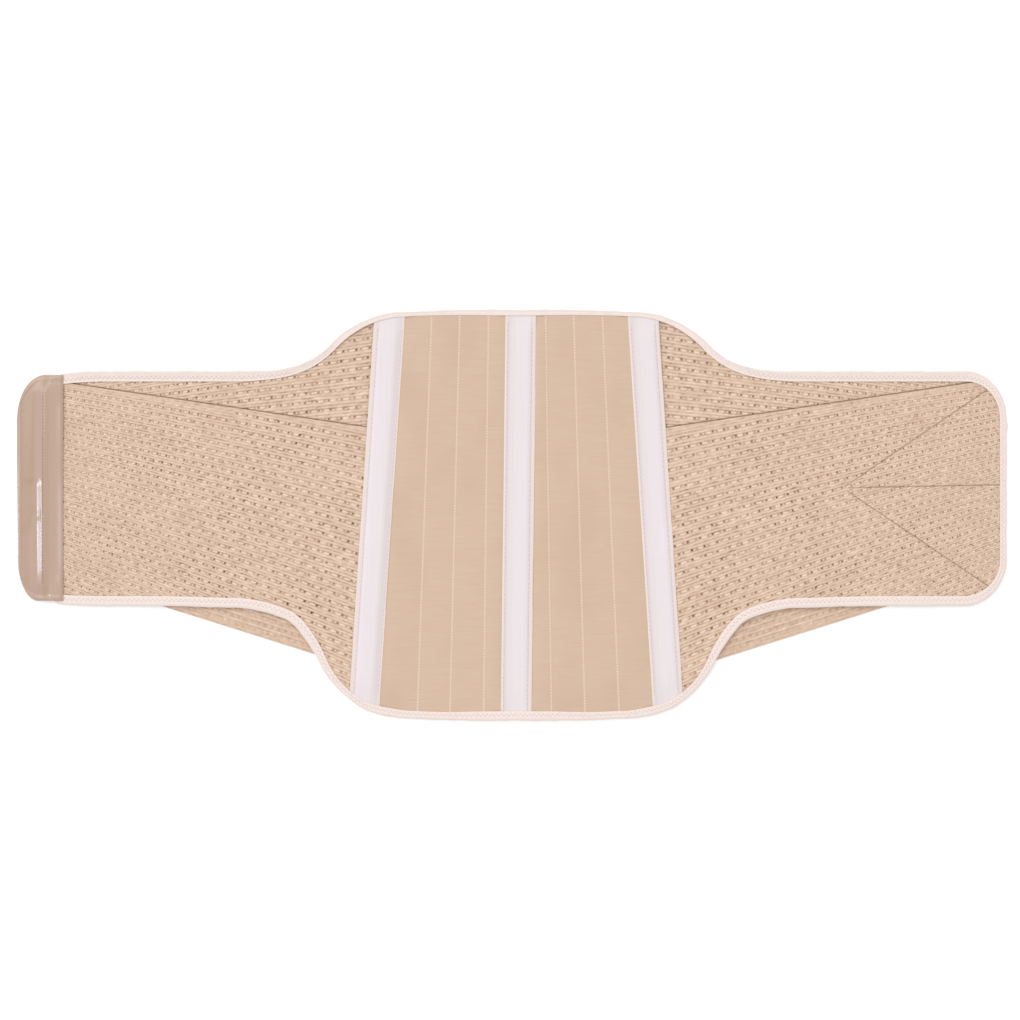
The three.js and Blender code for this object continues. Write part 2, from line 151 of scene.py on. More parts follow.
@dataclass
class Surface:
    """Points, quads and triangles of a mesh, with values that its finish reads at each point."""

    points: Array
    quads: Array
    triangles: Array = field(default_factory=lambda: np.zeros((0, 3), int))
    uv: Array | None = None
    values: dict[str, Array] = field(default_factory=dict)
    back: Array | None = None

    def flipped(self) -> Surface:
        """Return the same surface facing the other way."""
        back = None if self.back is None else self.back[:, ::-1]
        return Surface(self.points, self.quads[:, ::-1], self.triangles[:, ::-1], self.uv, self.values, back)

    def compact(self) -> Surface:
        """Leave out the points that no face uses.

        Returns:
            The same faces on fewer points.
        """
        used = np.unique(np.concatenate([self.quads.ravel(), self.triangles.ravel()]))
        return Surface(
            self.points[used],
            np.searchsorted(used, self.quads),
            np.searchsorted(used, self.triangles),
            None if self.uv is None else self.uv[used],
            {name: value[used] for name, value in self.values.items()},
        )

    def border(self) -> Array:
        """Find the edges that only one face uses.

        Returns:
            Pairs of point numbers, in the direction of their face.
        """
        edges = np.concatenate(
            [np.stack([self.quads[:, k], self.quads[:, (k + 1) % 4]], 1) for k in range(4)]
            + [np.stack([self.triangles[:, k], self.triangles[:, (k + 1) % 3]], 1) for k in range(3)]
        )
        count = len(self.points)
        there = edges[:, 0] * count + edges[:, 1]
        back = edges[:, 1] * count + edges[:, 0]
        return edges[~np.isin(there, back)]

    def slab(self, low: Array) -> Surface:
        """Close the surface into a slab, with its back or a copy at height low, and walls between.

        Args:
            low: The height of the lower face under each point.

        Returns:
            The closed slab.
        """
        count = len(self.points)
        under = np.column_stack([self.points[:, :2], low])
        a, b = self.border().T
        walls = np.stack([b, a, a + count, b + count], 1)
        back = self.quads if self.back is None else self.back
        whole = Surface(
            np.concatenate([self.points, under]),
            np.concatenate([self.quads, back[:, ::-1] + count, walls]),
            np.concatenate([self.triangles, self.triangles[:, ::-1] + count]),
            None if self.uv is None else np.concatenate([self.uv, self.uv]),
            {name: np.concatenate([value, value]) for name, value in self.values.items()},
        )
        return whole.compact()


def grid_quads(rows: int, columns: int, wrap: bool = False) -> Array:
    """Number the quads of a grid of points stored row by row.

    Args:
        rows: Points in one direction.
        columns: Points in the other, which runs faster.
        wrap: Whether the last column joins the first.

    Returns:
        One row of four point numbers for each quad.
    """
    across = np.arange(columns if wrap else columns - 1)
    j, i = (grid.ravel() for grid in np.meshgrid(np.arange(rows - 1), across, indexing="ij"))
    here, onward, right = j * columns, (j + 1) * columns, (i + 1) % columns
    return np.stack([here + i, here + right, onward + right, onward + i], 1)


def mesh_object(name: str, surface: Surface, material: Material) -> Piece:
    """Make a smooth-shaded object from a surface drawn in millimetres.

    Args:
        name: The object's name.
        surface: The points and faces.
        material: The finish of all its faces.

    Returns:
        The object, at the origin of the part's frame.
    """
    mesh = bpy.data.meshes.new(name)
    points = (surface.points + FRAME_SHIFT) * MM
    loops = np.concatenate([surface.quads.ravel(), surface.triangles.ravel()])
    corners = np.concatenate([np.full(len(surface.quads), 4), np.full(len(surface.triangles), 3)])
    mesh.vertices.add(len(points))
    mesh.vertices.foreach_set("co", points.astype(np.float32).ravel())
    mesh.loops.add(len(loops))
    mesh.loops.foreach_set("vertex_index", loops.astype(np.int32))
    mesh.polygons.add(len(corners))
    mesh.polygons.foreach_set("loop_start", (np.cumsum(corners) - corners).astype(np.int32))
    if surface.uv is not None:
        layer = mesh.uv_layers.new(name="cloth")
        layer.data.foreach_set("uv", surface.uv[loops].astype(np.float32).ravel())
    for value_name, value in surface.values.items():
        kind, field_name = ("FLOAT", "value") if value.ndim == 1 else ("FLOAT_VECTOR", "vector")
        attribute = mesh.attributes.new(value_name, kind, "POINT")
        attribute.data.foreach_set(field_name, value.astype(np.float32).ravel())
    mesh.update(calc_edges=True)
    mesh.validate()
    mesh.shade_smooth()
    mesh.set_sharp_from_angle(angle=math.radians(CREASE_DEGREES))
    mesh.materials.append(material)
    made = bpy.data.objects.new(name, mesh)
    bpy.context.scene.collection.objects.link(made)
    return made


def settle(piece: Piece, slot: str, *nodes: str) -> Piece:
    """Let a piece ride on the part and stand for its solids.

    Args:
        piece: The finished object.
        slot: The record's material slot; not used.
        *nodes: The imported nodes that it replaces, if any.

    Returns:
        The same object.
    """
    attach(piece, "root")
    if nodes:
        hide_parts(*nodes)
    LOG.info("%s: %d faces", piece.name, len(piece.data.polygons))
    return piece


# Finishes


def add_node(
    material: Material, kind: str, inputs: dict | None = None, **settings: object
) -> bpy.types.Node:
    """Add a shader node with its settings, and set or link its inputs.

    Args:
        material: The material whose tree takes the node.
        kind: The node's type name.
        inputs: Values or output sockets by input name or number.
        **settings: Properties of the node itself.

    Returns:
        The new node.
    """
    node = material.node_tree.nodes.new(kind)
    for name, value in settings.items():
        setattr(node, name, value)
    for name, value in (inputs or {}).items():
        if isinstance(value, Socket):
            material.node_tree.links.new(value, node.inputs[name])
        else:
            node.inputs[name].default_value = value
    return node


@dataclass(frozen=True)
class Finish:
    """A surface finish: a pattern of colour and height on one principled shader."""

    name: str
    roughness: float = 0.9
    sheen: float = 0.0
    sheen_roughness: float = 0.5
    bump_mm: float = 0.1
    bump_strength: float = 0.5
    specular: float = 0.3
    glow: float = 0.0

    def pattern(self, material: Material) -> Pattern:
        """Draw the finish's colour and height; each finish has its own."""
        raise NotImplementedError

    def build(self) -> Material:
        """Make the material.

        Returns:
            A material whose tree holds the pattern and its shader.
        """
        material = bpy.data.materials.new(self.name)
        material.use_nodes = True
        material.node_tree.nodes.clear()
        colour, height = self.pattern(material)
        inputs = {"Height": height, "Strength": self.bump_strength, "Distance": self.bump_mm * MM}
        bump = add_node(material, "ShaderNodeBump", inputs)
        shader = add_node(
            material,
            "ShaderNodeBsdfPrincipled",
            {
                "Base Color": colour,
                "Roughness": self.roughness,
                "Normal": bump.outputs[0],
                "Specular IOR Level": self.specular,
                "Sheen Weight": self.sheen,
                "Sheen Roughness": self.sheen_roughness,
                "Emission Color": WHITE,
                "Emission Strength": self.glow,
            },
        )
        add_node(material, "ShaderNodeOutputMaterial", {"Surface": shader.outputs[0]})
        return material

    def streaks(self, material: Material, period_mm: Triple, detail: float = 2.0) -> Socket:
        """Draw soft noise stretched to the given periods.

        Args:
            material: The material that takes the nodes.
            period_mm: The noise's size along each axis of the object.
            detail: How many finer octaves it has.

        Returns:
            The noise, from 0 to 1.
        """
        place = add_node(material, "ShaderNodeTexCoord")
        scale = tuple(1.0 / (period * MM) for period in period_mm)
        mapped = add_node(material, "ShaderNodeMapping", {"Vector": place.outputs["Object"], "Scale": scale})
        inputs = {"Vector": mapped.outputs[0], "Scale": 1.0, "Detail": detail}
        return add_node(material, "ShaderNodeTexNoise", inputs).outputs[0]

    def rows(self, material: Material, spacing_mm: float, distortion: float, detail: float = 2.0) -> Socket:
        """Draw the even rows of a knit or weave along the piece's own map.

        Args:
            material: The material that takes the nodes.
            spacing_mm: The distance from row to row.
            distortion: How unevenly the rows run.
            detail: How fine their unevenness is.

        Returns:
            The height of the rows, from 0 to 1.
        """
        uv = add_node(material, "ShaderNodeUVMap", uv_map="cloth")
        inputs = {
            "Vector": uv.outputs[0],
            "Scale": WAVE_LENGTH / (spacing_mm * MM),
            "Distortion": distortion,
            "Detail": detail,
        }
        return add_node(material, "ShaderNodeTexWave", inputs).outputs[1]

    def veil(
        self,
        material: Material,
        colour: Colour | Socket,
        tint: str,
        value: Socket,
        edges: Pair,
        strengths: Pair = (0.0, 1.0),
    ) -> Socket:
        """Lay a tint over a colour, more or less strongly by a value that is read between smooth ends.

        Args:
            material: The material that takes the nodes.
            colour: The colour below, or its socket.
            tint: The sRGB hex code of the tint.
            value: The socket to read.
            edges: The values at which the change starts and ends.
            strengths: The tint's share at those two values.

        Returns:
            The tinted colour.
        """
        inputs = {0: value, 1: edges[0], 2: edges[1], 3: strengths[0], 4: strengths[1]}
        share = add_node(material, "ShaderNodeMapRange", inputs, interpolation_type="SMOOTHSTEP").outputs[0]
        mixed = add_node(material, "ShaderNodeMix", {0: share, 6: colour, 7: srgb(tint)}, data_type="RGBA")
        return mixed.outputs[2]

    def dyed(self, material: Material, value: Socket, stops: tuple[tuple[float, str], ...]) -> Socket:
        """Read a colour from a row of dyes.

        Args:
            material: The material that takes the node.
            value: The socket to read, from 0 to 1.
            stops: Places from 0 to 1 with their sRGB hex codes.

        Returns:
            The colour.
        """
        node = add_node(material, "ShaderNodeValToRGB", {0: value})
        elements = node.color_ramp.elements
        while len(elements) < len(stops):
            elements.new(0.5)
        for element, (place, colour) in zip(elements, stops, strict=True):
            element.position = place
            element.color = srgb(colour)
        return node.outputs[0]

    def near_line(self, material: Material, name: str, shift: float = 0.0) -> Socket:
        """Measure how near a place is to the closest of three sewn lines.

        Args:
            material: The material that takes the nodes.
            name: The attribute that holds the signed distances to the lines, in millimetres.
            shift: How far to the positive side of each line to measure from.

        Returns:
            The least distance.
        """
        line = add_node(material, "ShaderNodeAttribute", attribute_name=name).outputs["Vector"]
        inputs = {0: line, 1: (shift,) * 3}
        moved = add_node(material, "ShaderNodeVectorMath", inputs, operation="SUBTRACT").outputs[0]
        away = add_node(material, "ShaderNodeVectorMath", {0: moved}, operation="ABSOLUTE").outputs[0]
        first, second, third = add_node(material, "ShaderNodeSeparateXYZ", {0: away}).outputs
        near = add_node(material, "ShaderNodeMath", {0: first, 1: second}, operation="MINIMUM").outputs[0]
        return add_node(material, "ShaderNodeMath", {0: near, 1: third}, operation="MINIMUM").outputs[0]


@dataclass(frozen=True)
class KnitElastic(Finish):
    """Warp-knitted elastic over rubber threads: light floats, painted light on the rib crests, and painted
    shade in the gaps and holes.
    """

    # Dyes by yarn value: dark is painted shade on the hole floors, gap is painted shade in the grooves, crest
    # is painted light on the rib tops, and the floats are partly lighter yarn and partly painted highlight.
    dark: str = "#583b2a"
    gap: str = "#c5a28a"
    body: str = "#dec3ac"
    crest: str = "#ebceb8"
    float_yarn: str = "#ffe9d3"
    # seam is the painted shadow along the seam's groove, where the lower band steps over the upper one, and
    # along the darts
    seam: str = "#87674f"
    levels: tuple[float, ...] = (0.0, 0.25, 0.52, 0.74, 1.0)
    lines: tuple[tuple[str, float], ...] = ()
    loop_mm: float = 1.1

    def pattern(self, material: Material) -> Pattern:
        """Colour by the yarn value at each point, which carries painted light and shade, with slight
        blotches; height from the loops of the yarn.

        Args:
            material: The material that takes the nodes.

        Returns:
            The colour and the height.
        """
        yarn = add_node(material, "ShaderNodeAttribute", attribute_name="yarn").outputs["Fac"]
        dyes = (self.dark, self.gap, self.body, self.crest, self.float_yarn)
        colour = self.dyed(material, yarn, tuple(zip(self.levels, dyes, strict=True)))
        blotch = self.streaks(material, (34.0, 21.0, 30.0))
        colour = self.veil(material, colour, self.gap, blotch, edges=(0.45, 0.75), strengths=(0.0, 0.16))
        # Painted shadow along each sewn line that the band carries
        for name, strength in self.lines:
            near = self.near_line(material, name)
            strengths = (strength, 0.0)
            colour = self.veil(material, colour, self.seam, near, (0.4, 0.95), strengths)
        return colour, self.rows(material, self.loop_mm, distortion=1.2, detail=1.0)


@dataclass(frozen=True)
class WovenCloth(Finish):
    """Smooth plain-woven cloth: close yarns with faint slubs along the weft, which dull the surface."""

    base: str = "#dabea7"
    # shade darkens the slubs and blotches, and is also the painted shade beside the sewn lines
    shade: str = "#cfb199"
    light: str = "#e2c8b2"
    slub_mm: Triple = (20.0, 1.6, 8.0)
    blotch_mm: Triple = (45.0, 70.0, 30.0)
    # Yarns of 0.45 mm, drawn 0.9 mm apart so that they still show at arm's length
    yarn_mm: Triple = (2.4, 0.9, 2.0)

    def pattern(self, material: Material) -> Pattern:
        """Colour from slubs, soft blotches and painted shade beside the sewn lines; height from the yarns.

        Args:
            material: The material that takes the nodes.

        Returns:
            The colour and the height.
        """
        slubs = self.streaks(material, self.slub_mm, 3.0)
        colour = self.veil(material, srgb(self.base), self.shade, slubs, (0.5, 0.78), strengths=(0.0, 0.36))
        colour = self.veil(material, colour, self.light, slubs, edges=(0.5, 0.2), strengths=(0.0, 0.35))
        blotch = self.streaks(material, self.blotch_mm)
        colour = self.veil(material, colour, self.shade, blotch, edges=(0.45, 0.75), strengths=(0.0, 0.35))
        # A strip on the right of each sewn line is painted in shade, as the shadow beside the line where the
        # cloth dips
        beside = self.near_line(material, "line", shift=1.5)
        colour = self.veil(material, colour, self.shade, beside, edges=(0.4, 1.5), strengths=(0.08, 0.0))
        return colour, self.streaks(material, self.yarn_mm, 1.0)


@dataclass(frozen=True)
class CasingTape(Finish):
    """Pale lilac-white woven tape with peach edges: fine lengthwise ribs give it a slight lustre."""

    stripes: tuple[tuple[float, str], ...] = (
        (0.0, "#f0e2da"), (0.039, "#f1e3dc"), (0.071, "#e8dcda"), (0.104, "#e8dcda"), (0.143, "#e3d8d8"),
        (0.175, "#ebe0e2"), (0.208, "#e6dcdf"), (0.24, "#eee4e5"), (0.273, "#e9dfde"), (0.338, "#efe5e7"),
        (0.792, "#f0e6ea"), (0.854, "#e8dcd9"), (0.89, "#ede0dc"), (0.955, "#efe1dc"), (1.0, "#ecdbd4"),
    )
    shade: str = "#e6dbde"
    streak_mm: Triple = (1.3, 60.0, 8.0)
    rib_mm: float = 0.8

    def pattern(self, material: Material) -> Pattern:
        """Colour by the place across the tape; height from lengthwise ribs.

        Args:
            material: The material that takes the nodes.

        Returns:
            The colour and the height.
        """
        across = add_node(material, "ShaderNodeAttribute", attribute_name="across").outputs["Fac"]
        colour = self.dyed(material, across, self.stripes)
        ribs = self.streaks(material, self.streak_mm, 1.0)
        colour = self.veil(material, colour, self.shade, ribs, edges=(0.5, 0.8), strengths=(0.0, 0.35))
        return colour, self.rows(material, self.rib_mm, distortion=0.6)


@dataclass(frozen=True)
class BindingTape(Finish):
    """Peach-white knitted binding, folded over the edge: close cross ribs and a soft matt face."""

    # outer is the outer edge, where the tape rolls over: partly its pinker tone, partly painted shade that
    # damps the highlight on the roll
    outer: str = "#f1e1db"
    base: str = "#f8e9e2"
    shade: str = "#ead7ce"
    mottle_mm: float = 3.2
    rib_mm: float = 0.9

    def pattern(self, material: Material) -> Pattern:
        """Colour from the place across the tape, darker at the rolled outer edge partly as painted shade, and
        faint mottling; height from ribs across it.

        Args:
            material: The material that takes the nodes.

        Returns:
            The colour and the height.
        """
        across = add_node(material, "ShaderNodeAttribute", attribute_name="across").outputs["Fac"]
        # The outer edge is painted darker: partly the tape's pinker tone, partly painted shade on the roll
        colour = self.veil(material, srgb(self.outer), self.base, across, edges=(0.05, 0.5))
        mottle = self.streaks(material, (self.mottle_mm,) * 3)
        colour = self.veil(material, colour, self.shade, mottle, edges=(0.48, 0.75), strengths=(0.0, 0.45))
        return colour, self.rows(material, self.rib_mm, distortion=0.8)


@dataclass(frozen=True)
class HookStrip(Finish):
    """Moulded nylon hook strip: a close field of tiny hooks reads as satin, greyer where it lies flat."""

    outer: str = "#b89b84"
    inner: str = "#c0a393"
    rim: str = "#c5a896"
    # band is a painted highlight: a soft second glint of the gloss panel down the strip's right part
    band: str = "#cfb5ab"
    # seam is painted shade in the crease along the seam, where the strip steps down past the belt's end
    seam: str = "#8c7563"
    haze_mm: Triple = (9.0, 26.0, 9.0)
    hook_pitch: float = 1.2

    def pattern(self, material: Material) -> Pattern:
        """Colour from the strip's zones; height from the field of hooks.

        Args:
            material: The material that takes the nodes.

        Returns:
            The colour and the height.
        """
        zone = add_node(material, "ShaderNodeAttribute", attribute_name="zone").outputs["Fac"]
        colour = self.veil(material, srgb(self.outer), self.inner, zone, edges=(0.2, 0.6))
        # The rim's tint, and the band's painted highlight
        for name, tint in (("rim", self.rim), ("band", self.band)):
            share = add_node(material, "ShaderNodeAttribute", attribute_name=name).outputs["Fac"]
            inputs = {0: share, 6: colour, 7: srgb(tint)}
            colour = add_node(material, "ShaderNodeMix", inputs, data_type="RGBA").outputs[2]
        haze = self.streaks(material, self.haze_mm)
        colour = self.veil(material, colour, self.rim, haze, edges=(0.5, 0.8), strengths=(0.0, 0.25))
        # Painted shade along the seam's crease
        near = self.near_line(material, "seam")
        colour = self.veil(material, colour, self.seam, near, edges=(0.35, 0.9), strengths=(0.35, 0.0))
        place = add_node(material, "ShaderNodeTexCoord").outputs["Object"]
        inputs = {"Vector": place, "Scale": 1.0 / (self.hook_pitch * MM), "Randomness": 0.25}
        away = add_node(material, "ShaderNodeTexVoronoi", inputs).outputs["Distance"]
        # Each hook is a low knob, highest at its middle
        inputs = {0: away, 1: 0.0, 2: 0.5, 3: 1.0, 4: 0.0}
        knobs = add_node(material, "ShaderNodeMapRange", inputs, interpolation_type="SMOOTHSTEP")
        return colour, knobs.outputs[0]


@dataclass(frozen=True)
class SewingThread(Finish):
    """Spun polyester thread: two plies that catch a little light."""

    base: str = "#eadbd6"
    shade: str = "#cbb9b6"
    ply_mm: float = 0.7

    def pattern(self, material: Material) -> Pattern:
        """Colour and height from the twist of the plies.

        Args:
            material: The material that takes the nodes.

        Returns:
            The colour and the height.
        """
        twist = self.streaks(material, (self.ply_mm,) * 3, 1.0)
        return self.veil(material, srgb(self.base), self.shade, twist, edges=(0.4, 0.7)), twist


@dataclass(frozen=True)
class FloorPaint(Finish):
    """White acrylic table, lit from below as well: a barely uneven tone, and hardly any shadow on it."""

    base: str = "#ffffff"
    shade: str = "#fdfdfd"
    cloud_mm: float = 300.0

    def pattern(self, material: Material) -> Pattern:
        """Colour and height from wide soft noise.

        Args:
            material: The material that takes the nodes.

        Returns:
            The colour and the height.
        """
        cloud = self.streaks(material, (self.cloud_mm,) * 3)
        inputs = {0: cloud, 6: srgb(self.base), 7: srgb(self.shade)}
        return add_node(material, "ShaderNodeMix", inputs, data_type="RGBA").outputs[2], cloud


# Outline and lay of the belt


def eased(x: Array, table: Table, blur: float = 6.0, samples: int = 5) -> Array:
    """Read a table at distances from the middle, as the mean over a short run.

    Args:
        x: Places along the brace.
        table: Distances and values.
        blur: Half the length of the run.
        samples: Places on the run.

    Returns:
        The value at each place.
    """
    places, values = zip(*table, strict=True)
    shifts = np.linspace(-blur, blur, samples)
    return sum(np.interp(np.abs(x) + shift, places, values) for shift in shifts) / len(shifts)


@dataclass(frozen=True)
class Shoulder:
    """The fall of one long edge from the back to the wing: a crown, a convex arc and a concave arc."""

    crown: float
    start: float
    drop: float
    steepest: float
    convex_radius: float
    reach: Pair

    def fall(self, x: Array) -> Array:
        """Work out how far the edge has fallen; the reach moves the arcs out on the left and the right.

        Args:
            x: Places along the brace.

        Returns:
            The fall at each place.
        """
        d = np.maximum(np.abs(x) - np.where(np.asarray(x) < 0, *self.reach), 0.0)
        angle = math.radians(self.steepest)
        both_radii = self.drop / (1.0 - math.cos(angle))
        hollow_radius = both_radii - self.convex_radius
        end = self.start + both_radii * math.sin(angle)
        turn = self.start + self.convex_radius * math.sin(angle)
        run = np.clip(d, self.start, turn) - self.start
        convex = self.convex_radius - np.sqrt(self.convex_radius**2 - run**2)
        left = end - np.clip(d, turn, end)
        hollow = self.drop - hollow_radius + np.sqrt(hollow_radius**2 - left**2)
        return self.crown * np.minimum(1.0, d / self.start) ** 2 + np.where(d <= turn, convex, hollow)


@dataclass
class EdgePath:
    """The outer edge as even stations: places, unit vectors into the cloth, tape widths and arc lengths."""

    places: Array
    inward: Array
    width: Array
    arc: Array

    def inset(self, depth: Array) -> Array:
        """Move each station into the cloth by a depth."""
        return self.places + self.inward * np.asarray(depth)[..., None]

    def at(self, arc: Array) -> EdgePath:
        """Read the path at other arc lengths.

        Args:
            arc: Distances along the edge from its upper left end.

        Returns:
            The path with stations there.
        """
        read = [np.interp(arc, self.arc, column) for column in (*self.places.T, *self.inward.T, self.width)]
        inward = np.stack(read[2:4], 1)
        inward /= np.linalg.norm(inward, axis=1, keepdims=True)
        return EdgePath(np.stack(read[:2], 1), inward, read[4], arc)


@dataclass(frozen=True)
class BeltOutline:
    """The edge of the laid-out belt, and the width of binding that shows along it."""

    front_end_x: float = 474.0
    back_half_height: float = 199.2
    corner_top: Pair = (38.8, 46.0)
    corner_bottom: Pair = (42.7, 45.0)
    cloth_end_x: float = -457.0
    binding_end_x: float = -451.0
    taper_start: float = 400.0
    taper_top: Pair = (4.4, 18.0)
    taper_bottom: Pair = (2.2, 22.0)
    turn_power: int = 16
    upper: Shoulder = Shoulder(
        crown=2.0, start=110.6, drop=57.4, steepest=46.0, convex_radius=101.0, reach=(-1.6, 1.1)
    )
    lower: Shoulder = Shoulder(
        crown=1.0, start=100.9, drop=110.0, steepest=65.0, convex_radius=100.9, reach=(2.0, 0.0)
    )
    edge_samples: int = 1200
    corner_samples: int = 40
    reach_rounds: int = 6
    width_front: float = 6.3
    top_trim: Table = (
        (0.0, 0.1), (50.0, 0.8), (76.0, 0.5), (105.0, 0.2), (200.0, 0.0), (236.0, 0.9), (262.0, 0.0),
    )
    bottom_trim: Table = (
        (0.0, 0.0), (43.0, -0.4), (70.0, 0.0), (98.0, 0.8), (126.0, 0.6), (152.0, -1.7), (174.0, -0.3),
        (206.0, -0.5), (216.0, 3.4), (226.0, 2.2), (236.0, 0.0), (250.0, -1.3), (266.0, -1.9),
        (280.0, -1.7), (305.0, -0.9), (340.0, 0.0),
    )
    top_widths: Table = (
        (0.0, 6.0), (20.0, 5.9), (47.0, 5.6), (75.0, 5.0), (95.0, 4.6), (105.0, 4.8), (150.0, 5.8),
        (175.0, 6.5), (205.0, 7.3), (225.0, 7.9), (245.0, 9.0), (265.0, 10.1),
    )
    bottom_widths: Table = (
        (0.0, 9.2), (43.0, 8.9), (70.0, 7.6), (98.0, 7.4), (126.0, 8.2), (152.0, 7.4), (173.0, 6.3),
        (190.0, 7.5), (205.0, 9.2), (240.0, 9.7),
    )

    def taper(self, x: Array, most: Pair) -> Array:
        """Draw an edge in towards the left end: the square of the way along it, and a turn at its corner.

        Args:
            x: Places along the brace.
            most: The square's and the turn's full height.

        Returns:
            How far the edge has come in.
        """
        into = np.maximum(0.0, -np.asarray(x) - self.taper_start) / (-self.cloth_end_x - self.taper_start)
        return most[0] * into**2 + most[1] * into**self.turn_power

    def top(self, x: Array) -> Array:
        """Height of the upper edge at x."""
        fallen = self.back_half_height - self.upper.fall(x) - self.taper(x, self.taper_top)
        return fallen + eased(x, self.top_trim)

    def bottom(self, x: Array) -> Array:
        """Height of the lower edge at x."""
        risen = self.lower.fall(x) + self.taper(x, self.taper_bottom) - self.back_half_height
        return risen + eased(x, self.bottom_trim)

    def path(self, left_end: float, spacing: float) -> EdgePath:
        """Walk the edge clockwise from the upper left to the lower left.

        Args:
            left_end: The x at which both long edges stop.
            spacing: The distance between stations.

        Returns:
            Even stations along the whole edge.
        """
        front, fine = self.front_end_x, self.edge_samples
        share = np.linspace(0.0, 1.0, self.corner_samples)
        turn = np.radians(90.0 * share)
        wing_top, wing_bottom = self.top(front), self.bottom(front)
        (top_run, top_rise), (bottom_run, bottom_rise) = self.corner_top, self.corner_bottom
        top_x = np.linspace(left_end, front - top_run, fine)
        bottom_x = np.linspace(front - bottom_run, left_end, fine)
        x = [top_x, front - top_run * (1 - np.sin(turn)), front - bottom_run * (1 - np.cos(turn)), bottom_x]
        y = [
            self.top(top_x),
            wing_top - top_rise * (1 - np.cos(turn)),
            wing_bottom + bottom_rise * (1 - np.sin(turn)),
            self.bottom(bottom_x),
        ]
        width = [
            eased(top_x, self.top_widths),
            mix(self.top_widths[-1][1], self.width_front, smoothstep(share, 0, 1)),
            mix(self.width_front, self.bottom_widths[-1][1], smoothstep(share, 0, 1)),
            eased(bottom_x, self.bottom_widths),
        ]
        places = np.column_stack([np.concatenate(x), np.concatenate(y)])
        arc = np.concatenate([[0.0], np.cumsum(np.linalg.norm(np.diff(places, axis=0), axis=1))])
        even = np.linspace(0.0, arc[-1], int(arc[-1] / spacing) + 1)
        stations = np.column_stack([np.interp(even, arc, column) for column in places.T])
        along = np.gradient(stations, axis=0)
        along /= np.linalg.norm(along, axis=1, keepdims=True)
        inward = np.column_stack([along[:, 1], -along[:, 0]])
        return EdgePath(stations, inward, np.interp(even, arc, np.concatenate(width)), even)

    def reach(self, line_x: Callable[[Array], Array], upper: bool, inset: float) -> Array:
        """Find the height at which nearly upright lines come within a distance of an edge.

        Args:
            line_x: The x of each line at given heights.
            upper: Whether the edge is the upper one.
            inset: The distance to keep from the edge.

        Returns:
            The height at which each line ends.
        """
        edge, sign = (self.top, -1.0) if upper else (self.bottom, 1.0)
        y = np.zeros(1)
        for _ in range(self.reach_rounds):
            y = edge(line_x(y)) + sign * inset
        return y


def clipped(outline: Array, point: Array, inward: Array) -> Array:
    """Cut a closed outline with a line and keep one side.

    Args:
        outline: The corners, in order.
        point: A point of the line.
        inward: The direction across the line to the side that stays.

    Returns:
        The corners of what is left.
    """
    depth = (outline - point) @ inward
    onward, next_depth = np.roll(outline, -1, 0), np.roll(depth, -1)
    crosses = depth * next_depth < 0
    share = depth[crosses] / (depth[crosses] - next_depth[crosses])
    cuts = outline[crosses] + share[:, None] * (onward[crosses] - outline[crosses])
    order = np.arange(len(outline), dtype=float)
    places = np.concatenate([order[depth >= 0], order[crosses] + 0.5])
    return np.concatenate([outline[depth >= 0], cuts])[np.argsort(places)]


def depth_inside(points: Array, outline: Array, batch: int = 3000) -> tuple[Array, Array]:
    """Measure how far points lie inside a closed outline.

    Args:
        points: The points, in the outline's plane.
        outline: The corners, in order.
        batch: About how many points are measured at a time.

    Returns:
        The distance to the edge, negative outside, and the nearest place on the edge.
    """
    start, run = outline, np.roll(outline, -1, 0) - outline
    depths, nearest = [], []
    for part in np.array_split(points, max(1, len(points) // batch)):
        to = part[:, None, :] - start
        share = np.clip((to * run).sum(2) / (run * run).sum(1), 0.0, 1.0)
        gap = to - share[..., None] * run
        squares = (gap * gap).sum(2)
        best = squares.argmin(1)
        row = np.arange(len(part))
        nearest.append(part - gap[row, best])
        above, next_above = to[..., 1] >= 0, to[..., 1] >= run[:, 1]
        side = run[:, 0] * to[..., 1] - run[:, 1] * to[..., 0]
        crossings = (above & ~next_above & (side > 0)) | (~above & next_above & (side < 0))
        inside = crossings.sum(1) % 2 == 1
        depths.append(np.where(inside, 1.0, -1.0) * np.sqrt(squares[row, best]))
    return np.concatenate(depths), np.concatenate(nearest)


@dataclass(frozen=True)
class StrapCut:
    """The slanting strap behind each wing: a parallelogram in distance from the middle and height."""

    slope: float = 0.3155
    low_d: float = 204.0
    low_y: Pair = (-133.0, -137.2)
    width: float = 110.0
    back_d: float = 127.0
    front_d: float = 450.0

    @property
    def tall(self) -> float:
        """The strap's size straight up the brace."""
        return self.width * math.hypot(1.0, self.slope)

    def low_edge(self, x: Array) -> Array:
        """Height of the strap's lower edge at x, on the left or the right."""
        return np.where(np.asarray(x) < 0, *self.low_y) + self.slope * (np.abs(x) - self.low_d)


@dataclass(frozen=True)
class Crossing:
    """Where the two bands of a wing cross: the lower band's upper edge and the upper band's lower edge."""

    slope: float = 0.1475
    lower_top: Pair = (159.0, 87.3)
    upper_bottom: Pair = (453.0, -79.3)

    def above(self, d: Array, y: Array) -> Array:
        """How far straight up a place lies above the lower band's upper edge."""
        back_d, back_y = self.lower_top
        return y - back_y - self.slope * (d - back_d)

    def cuts(self, cloth: Array) -> tuple[Array, Array]:
        """Cut a wing's cloth into its two bands.

        Args:
            cloth: The wing's outline, in distance from the middle and height.

        Returns:
            The outlines of the lower band and the upper band.
        """
        lower = clipped(cloth, np.array(self.lower_top), np.array([self.slope, -1.0]))
        upper = clipped(cloth, np.array(self.upper_bottom), np.array([self.slope, 1.0]))
        return lower, upper


